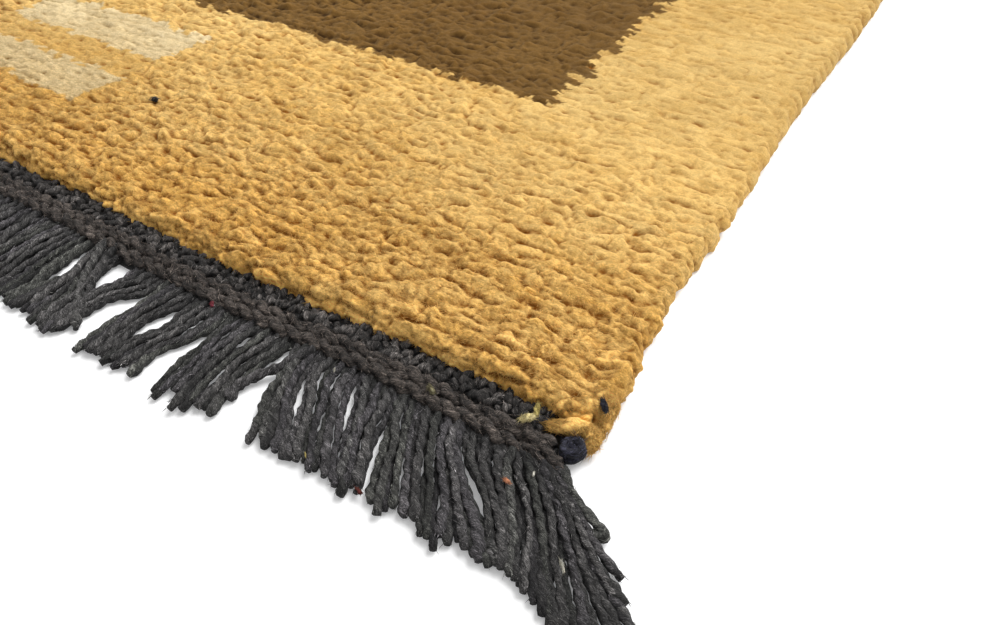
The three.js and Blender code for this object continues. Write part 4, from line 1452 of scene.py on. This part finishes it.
# The knobs in which the cords are turned in
KNOB_YARN_RADIUS = 1.4
KNOB_BOTTOM_TURNS = 1.6
KNOB_TOP_TURNS = 1.1
KNOB_HOLLOW = 1.0
KNOB_START = 0.3
KNOB_ROUGHNESS = 0.15
KNOB_PLY_OFFSET = 0.15


def make_knob(node, material, draw):
    """The yarn wound up to a corner's knob and in over its top."""
    low, high = node_box(node)
    middle = (low + high) / 2
    radius = (high[0] - low[0]) / 2
    turns = np.linspace(0, KNOB_BOTTOM_TURNS + KNOB_TOP_TURNS, 70)
    angle = TURN * (turns + KNOB_START)
    inwards = ease((turns - KNOB_BOTTOM_TURNS) / KNOB_TOP_TURNS)
    coil = (radius - KNOB_YARN_RADIUS) * (1 - inwards)
    top = high[2] - KNOB_YARN_RADIUS
    height = mix(KNOB_YARN_RADIUS, top, np.minimum(turns / KNOB_BOTTOM_TURNS, 1)) - KNOB_HOLLOW * inwards
    path = np.stack([middle[0] + coil * np.cos(angle), middle[1] + coil * np.sin(angle), height], axis=-1)
    shape = Shape()
    add_yarn(shape, path, KNOB_YARN_RADIUS, 10, BLUE_BLACK, rough=KNOB_ROUGHNESS, offset=KNOB_PLY_OFFSET)
    add_fibres(shape, path, KNOB_YARN_RADIUS, 200, BLUE_BLACK, draw)
    return shape.build(node + "_coil", material, "charcoal_wool", [node])


# The gold turns that bind each corner over the selvedge's foot: each one's radius and its marks, which are
# a distance in from the side edge, a place along the rug and a height
CORNER_TURNS = (
    (2.5, ((15.0, -438.6, 3.9), (11.8, -437.4, 4.6), (8.0, -435.9, 5.0),
           (5.0, -435.4, 4.6), (3.6, -436.8, 3.2), (4.2, -439.2, 2.0))),
    (2.9, ((15.8, -432.8, 5.0), (11.4, -430.6, 6.0), (7.0, -429.0, 6.4),
           (4.4, -429.4, 5.4), (3.9, -431.4, 3.6), (4.2, -434.2, 2.3))),
    (2.7, ((14.4, -427.8, 5.4), (9.4, -425.8, 6.4), (5.8, -425.0, 6.2),
           (4.4, -425.8, 4.8), (4.2, -428.0, 2.4))),
)
CORNER_EDGE_Y = -435
CORNER_TINT = mix(GOLD_PALE, GOLD_WARM, 0.6)
CORNER_YARN_TINT = CORNER_TINT * 0.85
CORNER_FIBRE_TINT = CORNER_TINT * 1.15
CORNER_TAPER = 0.32
CORNER_PHASE_STEP = 1.3
# The turns' yarn: its turn, roughness, ply offset and how light it is painted below, painted shade
CORNER_YARN = (22, 0.2, 0.12, 0.75)
CORNER_FIBRES = (2.4, 0.16, 0.12, 0.8, 1.6)
# Each corner's turns, and whether they are mirrored or turned
CORNERS = (
    ("front_right", False, False), ("front_left", True, False), ("back_left", False, True),
    ("back_right", True, True),
)


def make_corner_turns(corner, mirrored, turned, material):
    """The turns at the front right corner, or the same ones mirrored or turned and plainer."""
    fine = not (mirrored or turned)
    draw = np.random.default_rng(41)
    edge = right_edge(-CORNER_EDGE_Y if mirrored else CORNER_EDGE_Y)
    shape = Shape()
    for number, (radius, marks) in enumerate(CORNER_TURNS):
        path = line_through([(edge - inwards, y, z) for inwards, y, z in marks], 48 if fine else 12)
        share = np.linspace(-1, 1, len(path))
        taper = radius * (1 - CORNER_TAPER * share ** 4)
        phase = number * CORNER_PHASE_STEP
        add_yarn(shape, path, taper, 20 if fine else 8, CORNER_YARN_TINT, phase, *CORNER_YARN)
        if fine:
            add_fibres(shape, path, taper, 1000, CORNER_FIBRE_TINT, draw, *CORNER_FIBRES)
    if mirrored:
        shape.points = [points * (-1, 1, 1) for points in shape.points]
        shape.faces = [face[:, ::-1] for face in shape.faces]
    return shape.build("corner_turns_" + corner, material, "gold_wool", turned=turned)


# Bits of other yarn that were spun in or left on: where each one starts and ends, its radius and colour
YELLOW_BIT = np.array([0.62, 0.53, 0.2])
CREAM_BIT = np.array([0.8, 0.72, 0.4])
GREEN_BIT = np.array([0.24, 0.23, 0.15])
PINK_BIT = np.array([0.30, 0.06, 0.10])
ORANGE_BIT = np.array([0.80, 0.36, 0.22])
RED_BIT = np.array([0.12, 0.03, 0.03])
WHITE_BIT = np.array([0.55, 0.56, 0.53])
WOOL_BITS = (
    ((285.2, -435.0, 6.0), (286.9, -439.2, 6.2), 1.0, YELLOW_BIT),
    ((286.9, -439.0, 6.0), (284.2, -442.2, 6.2), 1.3, CREAM_BIT),
    ((184.0, -449.6, 4.0), (185.2, -450.9, 3.9), 0.7, PINK_BIT),
    ((289.4, -458.2, 4.7), (291.2, -458.5, 4.7), 0.65, ORANGE_BIT),
    ((257.8, -444.2, 5.4), (260.8, -445.8, 5.5), 1.0, GREEN_BIT),
    ((243.2, -475.6, 2.6), (246.4, -477.8, 2.0), 0.3, YELLOW_BIT),
    ((260.2, -477.0, 2.2), (262.4, -477.6, 2.0), 0.7, RED_BIT),
    ((294.4, -452.8, 5.0), (294.9, -454.1, 4.8), 0.35, WHITE_BIT),
    ((310.4, -469.6, 5.0), (312.6, -471.8, 4.9), 0.55, WHITE_BIT),
    ((232.6, -451.6, 5.0), (233.4, -452.8, 4.9), 0.3, WHITE_BIT),
)
DARK_BITS = (
    ((299.0, -427.6, 8.7), (302.2, -431.2, 9.1), 1.15, BLUE_BLACK),
)
BIT_ARCH = 0.4
BIT_ROUND = 1.08
BIT_CORE = 0.8
BIT_SHADE = 0.8
BIT_TURN = 4
BIT_ROUGHNESS = 0.25
# How light the bits' lower side is painted: painted shade
BIT_UNDERSIDE = 0.7
BIT_FIBRES = 10
BIT_FIBRES_BY_RADIUS = 60
BIT_FIBRE_LENGTH = 1.3


def make_bits(name, bits, material, slot):
    """Short tufts of yarn, thick in the middle, with loose fibres."""
    draw = np.random.default_rng(61)
    shape = Shape()
    for number, (start, end, radius, tint) in enumerate(bits):
        share = np.linspace(0, 1, 12)[:, None]
        path = np.array(start) * (1 - share) + np.array(end) * share
        path[:, 2] += BIT_ARCH * radius * np.sin(share[:, 0] * TURN / 2)
        core = BIT_CORE * (radius * np.sqrt(BIT_ROUND - (2 * share[:, 0] - 1) ** 2))
        tint = tint * BIT_SHADE
        add_yarn(shape, path, core, 8, tint, number, BIT_TURN, BIT_ROUGHNESS, underside=BIT_UNDERSIDE)
        count = round(BIT_FIBRES_BY_RADIUS * radius) + BIT_FIBRES
        length = BIT_FIBRE_LENGTH * radius
        add_fibres(shape, path, core, count, tint, draw, length, 0.2, 0.25, 0.7, 1.5)
    return shape.build(name, material, slot)


# One dark knot in the pile: its middle, its radius, how far its ends lie from it, and its height and arch
# over the pile
DARK_KNOT = (79.7, -380.2)
DARK_KNOT_RADIUS = 1.25
DARK_KNOT_HALF = (1.1, 0.5)
DARK_KNOT_LIFT = 0.3
DARK_KNOT_ARCH = 0.4
DARK_KNOT_FIBRES = (1.6, 0.2, 0.5, 0.8, 4.0)


def make_dark_knot(material):
    """The one charcoal knot that was tied into the gold."""
    draw = np.random.default_rng(71)
    shape = Shape()
    x, y = DARK_KNOT
    share = np.linspace(-1, 1, 10)
    half_x, half_y = DARK_KNOT_HALF
    z = PILE_HEIGHT + DARK_KNOT_LIFT + DARK_KNOT_ARCH - DARK_KNOT_ARCH * share ** 2
    path = np.stack([x + half_x * share, y + half_y * share, z], axis=-1)
    radius = DARK_KNOT_RADIUS * np.sqrt(BIT_ROUND - share ** 2)
    add_yarn(shape, path, radius, 8, CHARCOAL, rough=0.2)
    add_fibres(shape, path, DARK_KNOT_RADIUS, 50, CHARCOAL, draw, *DARK_KNOT_FIBRES)
    return shape.build("dark_knot", material, "charcoal_wool")


GROUND_HEIGHT = 2.2


def make_ground(material):
    """The knotted ground under the pile and the bands, which is the rug's back."""
    lines = np.linspace(-1, 1, 40)
    across, along = np.meshgrid(lines, lines)
    y = along * -CORD_IN_Y
    half = np.where(across > 0, right_edge(y), right_edge(-y)) - SELVEDGE_WIDTH - PIECE_GAP
    top = np.stack([across * half, y, np.full(y.shape, GROUND_HEIGHT)], axis=-1)
    shape = Shape()
    points, faces = slab(top, LOWEST)
    shape.add(points, faces, GOLD_WARM)
    return shape.build("knotted_ground", material, "gold_wool")


# Materials
WHITE = (1, 1, 1, 1)
NOISE_DETAIL = 5.0


def node_material(name):
    """A new material, its tree and its shader."""
    material = bpy.data.materials.new(name)
    material.use_nodes = True
    tree = material.node_tree
    return material, tree, tree.nodes["Principled BSDF"]


def set_inputs(node, inputs):
    for key, value in inputs.items():
        node.inputs[key].default_value = value


def add_node(tree, kind, settings=None, inputs=None):
    """A new node with its settings and its inputs' values."""
    node = tree.nodes.new(kind)
    for key, value in (settings or {}).items():
        setattr(node, key, value)
    set_inputs(node, inputs or {})
    return node


def link(tree, source, output, target, place):
    tree.links.new(source.outputs[output], target.inputs[place])


def math_node(tree, operation, first, second):
    """A Math node of two values, each a number or an output."""
    node = add_node(tree, "ShaderNodeMath", {"operation": operation})
    for place, value in enumerate((first, second)):
        if isinstance(value, (int, float)):
            node.inputs[place].default_value = value
        else:
            tree.links.new(value, node.inputs[place])
    return node.outputs[0]


def mixed(tree, blend, factor, first, second):
    """A colour mix of two outputs or colours."""
    node = add_node(tree, "ShaderNodeMix", {"data_type": "RGBA", "blend_type": blend})
    for place, value in ((0, factor), (6, first), (7, second)):
        if isinstance(value, (int, float, tuple)):
            node.inputs[place].default_value = value
        else:
            tree.links.new(value, node.inputs[place])
    return node.outputs[2]


def ranged(tree, value, low, high, to_low, to_high):
    """A value carried from one range to another and held at its ends."""
    limits = {"From Min": low, "From Max": high, "To Min": to_low, "To Max": to_high}
    node = add_node(tree, "ShaderNodeMapRange", None, limits)
    tree.links.new(value, node.inputs["Value"])
    return node.outputs["Result"]


def noise_node(tree, place, output, scale, roughness, distortion=0.0):
    """A noise texture at a node's output, with its scale in waves a metre."""
    inputs = {"Scale": scale, "Detail": NOISE_DETAIL, "Roughness": roughness, "Distortion": distortion}
    node = add_node(tree, "ShaderNodeTexNoise", None, inputs)
    link(tree, place, output, node, "Vector")
    return node


def stretched(tree, place, output, scale, rotation=(0.0, 0.0, 0.0)):
    """Places stretched and turned before a texture is read at them."""
    node = add_node(tree, "ShaderNodeMapping", None, {"Rotation": rotation, "Scale": scale})
    link(tree, place, output, node, "Vector")
    return node


# Wool's fine pattern: each texture's scale and roughness, the range of noise that tells, and its effect
WOOL_MOTTLE = (1500.0, 0.75)
WOOL_MOTTLE_RANGE = (0.34, 0.66, 0.84, 1.14)
# Where the mesh is coarse, the tufts' edges are painted darker: painted shade
WOOL_TUFT_SCALE = 330.0
WOOL_TUFT_STRETCH = (0.85, 1.0, 1.0)
WOOL_TUFT_RANGE = (0.35, 0.75, 1.0, 0.88)
WOOL_TUFT_RELIEF = -0.55
WOOL_FIBRE = (1700.0, 0.7, 1.6)
WOOL_FIBRE_STRETCH = (0.35, 1.0, 0.6)
WOOL_FIBRE_TURN = (0.0, 0.0, 0.6)
WOOL_FIBRE_RANGE = (0.36, 0.64, 0.0, 1.0)
WOOL_FIBRE_DARK = (0.70, 0.59, 0.43, 1.0)
WOOL_FIBRE_LIGHT = (1.36, 1.34, 1.30, 1.0)
WOOL_FIBRE_FADE = 30
BUMP_DISTANCE = 0.0009


def wool_material(name, ground):
    """Wool pile. Where the mesh is too coarse for its tufts, their edges are painted darker, as painted
    shade, and raised. The ground has no tints of its own, so its colours come from the design's places."""
    material, tree, shader = node_material(name)
    place = add_node(tree, "ShaderNodeTexCoord")
    tint = add_node(tree, "ShaderNodeAttribute", {"attribute_name": "tint"})
    colour = design_colour(tree, place) if ground else tint.outputs["Color"]
    coarse = 1.0 if ground else tint.outputs["Alpha"]
    mottle = noise_node(tree, place, "Object", *WOOL_MOTTLE)
    mottled = ranged(tree, mottle.outputs["Fac"], *WOOL_MOTTLE_RANGE)
    colour = mixed(tree, "MULTIPLY", 1.0, colour, mottled)
    stretch = stretched(tree, place, "Object", WOOL_TUFT_STRETCH)
    tufts = add_node(tree, "ShaderNodeTexVoronoi", None, {"Scale": WOOL_TUFT_SCALE, "Randomness": 1.0})
    link(tree, stretch, "Vector", tufts, "Vector")
    # Painted shade at the tufts' edges
    between = ranged(tree, tufts.outputs["Distance"], *WOOL_TUFT_RANGE)
    colour = mixed(tree, "MULTIPLY", coarse, colour, between)
    parts = add_node(tree, "ShaderNodeSeparateXYZ")
    link(tree, place, "Object", parts, "Vector")
    along = math_node(tree, "ABSOLUTE", parts.outputs["Y"], 0.0)
    calm_from = (-PILE_END_Y - TUFTED_REACH) * MM
    tufted_from = (-PILE_END_Y - WOOL_FIBRE_FADE) * MM
    tufted = ranged(tree, along, calm_from, tufted_from, TUFTED_LEAST, 1.0)
    lay = stretched(tree, place, "Object", WOOL_FIBRE_STRETCH, WOOL_FIBRE_TURN)
    fibre = noise_node(tree, lay, "Vector", *WOOL_FIBRE)
    fibre_share = ranged(tree, fibre.outputs["Fac"], *WOOL_FIBRE_RANGE)
    streaks = mixed(tree, "MIX", fibre_share, WOOL_FIBRE_DARK, WOOL_FIBRE_LIGHT)
    colour = mixed(tree, "MULTIPLY", tufted, colour, streaks)
    tree.links.new(colour, shader.inputs["Base Color"])
    relief = math_node(tree, "MULTIPLY", tufts.outputs["Distance"], WOOL_TUFT_RELIEF)
    relief = math_node(tree, "MULTIPLY", relief, coarse)
    fine_relief = math_node(tree, "MULTIPLY", fibre.outputs["Fac"], tufted)
    bump = add_node(tree, "ShaderNodeBump", None, {"Strength": 0.9, "Distance": BUMP_DISTANCE})
    tree.links.new(math_node(tree, "ADD", fine_relief, relief), bump.inputs["Height"])
    link(tree, bump, "Normal", shader, "Normal")
    set_inputs(shader, {
        "Roughness": 0.95, "Specular IOR Level": 0.08,
        "Sheen Weight": 0.12, "Sheen Roughness": 0.45, "Sheen Tint": (1.0, 0.82, 0.5, 1.0),
    })
    return material


def design_colour(tree, place):
    """The design's colour by place: brown field, cream bars, charcoal ends, and gold."""
    parts = add_node(tree, "ShaderNodeSeparateXYZ")
    link(tree, place, "Object", parts, "Vector")
    across = math_node(tree, "ABSOLUTE", parts.outputs["X"], 0.0)
    along = math_node(tree, "ABSOLUTE", parts.outputs["Y"], 0.0)

    def inside(value, limit):
        return math_node(tree, "LESS_THAN", value, limit * MM)

    in_width = inside(across, HALF_WIDTH - FIELD_FROM_SIDE)
    field = math_node(tree, "MULTIPLY", in_width, inside(along, -PILE_END_Y - FIELD_FROM_END))
    colour = mixed(tree, "MIX", field, (*GOLD_WARM, 1), (*BROWN_WARM, 1))
    for low, high in BARS_FROM_END:
        bar = math_node(
            tree, "SUBTRACT", inside(along, -PILE_END_Y - low), inside(along, -PILE_END_Y - high)
        )
        bar = math_node(tree, "MULTIPLY", bar, inside(across, BARS_HALF_LENGTH))
        colour = mixed(tree, "MIX", bar, colour, (*CREAM_WARM, 1))
    return mixed(tree, "MIX", inside(along, -PILE_END_Y), (*CHARCOAL, 1), colour)


# The brightness of the yarn's fibres by the noise in them
YARN_RAMP = ((0.38, 0.22), (0.47, 0.6), (0.53, 1.25), (0.59, 2.6), (0.68, 6.5))
YARN_NOISE = (1900.0, 0.75, 1.5)
YARN_NOISE_STRETCH = (0.5, 1.0, 1.0)


def yarn_material():
    """Twisted yarn, with its fibres along each yarn's own straight frame."""
    material, tree, shader = node_material("charcoal_yarn")
    tint = add_node(tree, "ShaderNodeAttribute", {"attribute_name": "tint"})
    place = add_node(tree, "ShaderNodeAttribute", {"attribute_name": "fibre"})
    stretch = stretched(tree, place, "Vector", YARN_NOISE_STRETCH)
    streaks = noise_node(tree, stretch, "Vector", *YARN_NOISE)
    ramp = add_node(tree, "ShaderNodeValToRGB")
    for place_on_ramp, value in YARN_RAMP:
        element = ramp.color_ramp.elements.new(place_on_ramp)
        element.color = (value, value, value, 1)
    ramp.color_ramp.elements.remove(ramp.color_ramp.elements[0])
    ramp.color_ramp.elements.remove(ramp.color_ramp.elements[-1])
    link(tree, streaks, "Fac", ramp, "Fac")
    colour = mixed(tree, "MULTIPLY", 1.0, tint.outputs["Color"], ramp.outputs["Color"])
    tree.links.new(colour, shader.inputs["Base Color"])
    bump = add_node(tree, "ShaderNodeBump", None, {"Strength": 1.0, "Distance": BUMP_DISTANCE})
    link(tree, streaks, "Fac", bump, "Height")
    link(tree, bump, "Normal", shader, "Normal")
    set_inputs(shader, {
        "Roughness": 0.9, "Specular IOR Level": 0.15, "Sheen Weight": 0.08, "Sheen Roughness": 0.5,
    })
    return material


def make_camera():
    """The camera at the photograph's place and angle."""
    camera = bpy.data.objects.new("camera", bpy.data.cameras.new("camera"))
    bpy.context.scene.collection.objects.link(camera)
    camera.data.lens = CAMERA_LENS
    camera.data.sensor_width = SENSOR_WIDTH
    camera.data.clip_start = CAMERA_CLIP
    level = math.cos(CAMERA_PITCH)
    forward = np.array([
        -math.sin(CAMERA_YAW) * level, math.cos(CAMERA_YAW) * level, -math.sin(CAMERA_PITCH),
    ])
    level_right = np.array([math.cos(CAMERA_YAW), math.sin(CAMERA_YAW), 0])
    level_down = np.cross(forward, level_right)
    right = math.cos(CAMERA_ROLL) * level_right + math.sin(CAMERA_ROLL) * level_down
    down = math.cos(CAMERA_ROLL) * level_down - math.sin(CAMERA_ROLL) * level_right
    place = Matrix(np.column_stack([right, -down, -forward]).tolist()).to_4x4()
    place.translation = np.array(CAMERA_PLACE) * MM
    camera.matrix_world = place
    bpy.context.scene.camera = camera


# The floor, the even light around and the soft light from above, in metres
FLOOR_REACH = 4.0
FLOOR_DROP = 0.0002
FLOOR_COLOUR = (0.9, 0.9, 0.9, 1)
FLOOR_GLOW = 0.2
WORLD_LIGHT = 0.58
KEY_LIGHT = 2.9
KEY_ANGLE = math.radians(40)
KEY_DIRECTION = np.array([0.35, 0.8, 1.2])


def make_stage():
    """A white floor in soft light from above, behind and a little from the right."""
    mesh = bpy.data.meshes.new("floor")
    corners = [
        (-FLOOR_REACH, -FLOOR_REACH, -FLOOR_DROP), (FLOOR_REACH, -FLOOR_REACH, -FLOOR_DROP),
        (FLOOR_REACH, FLOOR_REACH, -FLOOR_DROP), (-FLOOR_REACH, FLOOR_REACH, -FLOOR_DROP),
    ]
    mesh.from_pydata(corners, [], [(0, 1, 2, 3)])
    material, _, shader = node_material("floor_white")
    set_inputs(shader, {
        "Base Color": FLOOR_COLOUR, "Roughness": 0.9, "Specular IOR Level": 0.0,
        "Emission Color": WHITE, "Emission Strength": FLOOR_GLOW,
    })
    mesh.materials.append(material)
    floor = bpy.data.objects.new("floor", mesh)
    bpy.context.scene.collection.objects.link(floor)
    world = bpy.data.worlds.new("studio")
    world.use_nodes = True
    set_inputs(world.node_tree.nodes["Background"], {"Color": WHITE, "Strength": WORLD_LIGHT})
    bpy.context.scene.world = world
    sun = bpy.data.objects.new("key", bpy.data.lights.new("key", "SUN"))
    sun.data.energy = KEY_LIGHT
    sun.data.angle = KEY_ANGLE
    direction = unit(KEY_DIRECTION)
    sideways = unit(np.cross(UP, direction))
    place = Matrix(np.column_stack([sideways, np.cross(direction, sideways), direction]).tolist()).to_4x4()
    sun.matrix_world = place
    bpy.context.scene.collection.objects.link(sun)
    bpy.context.scene.view_settings.view_transform = "Standard"


make_camera()
make_stage()
gold = wool_material("gold_wool_pile", ground=False)
back = wool_material("knotted_back", ground=True)
charcoal = yarn_material()
ground = make_ground(back)
pieces = make_pile(gold) + make_wisps(gold) + make_selvedges(gold)
for turned in (False, True):
    pieces += make_end(turned, charcoal)
    pieces += make_fringe(turned, charcoal)
knob_draw = np.random.default_rng(51)
for end in ("front", "back"):
    for side in ("left", "right"):
        pieces.append(make_knob("cord_end_" + end + "_" + side, charcoal, knob_draw))
for corner, mirrored, turned in CORNERS:
    pieces.append(make_corner_turns(corner, mirrored, turned, gold))
pieces.append(make_bits("spun_in_wool_bits", WOOL_BITS, gold, "gold_wool"))
pieces.append(make_bits("spun_in_yarn_bit", DARK_BITS, charcoal, "charcoal_wool"))
pieces.append(make_dark_knot(charcoal))
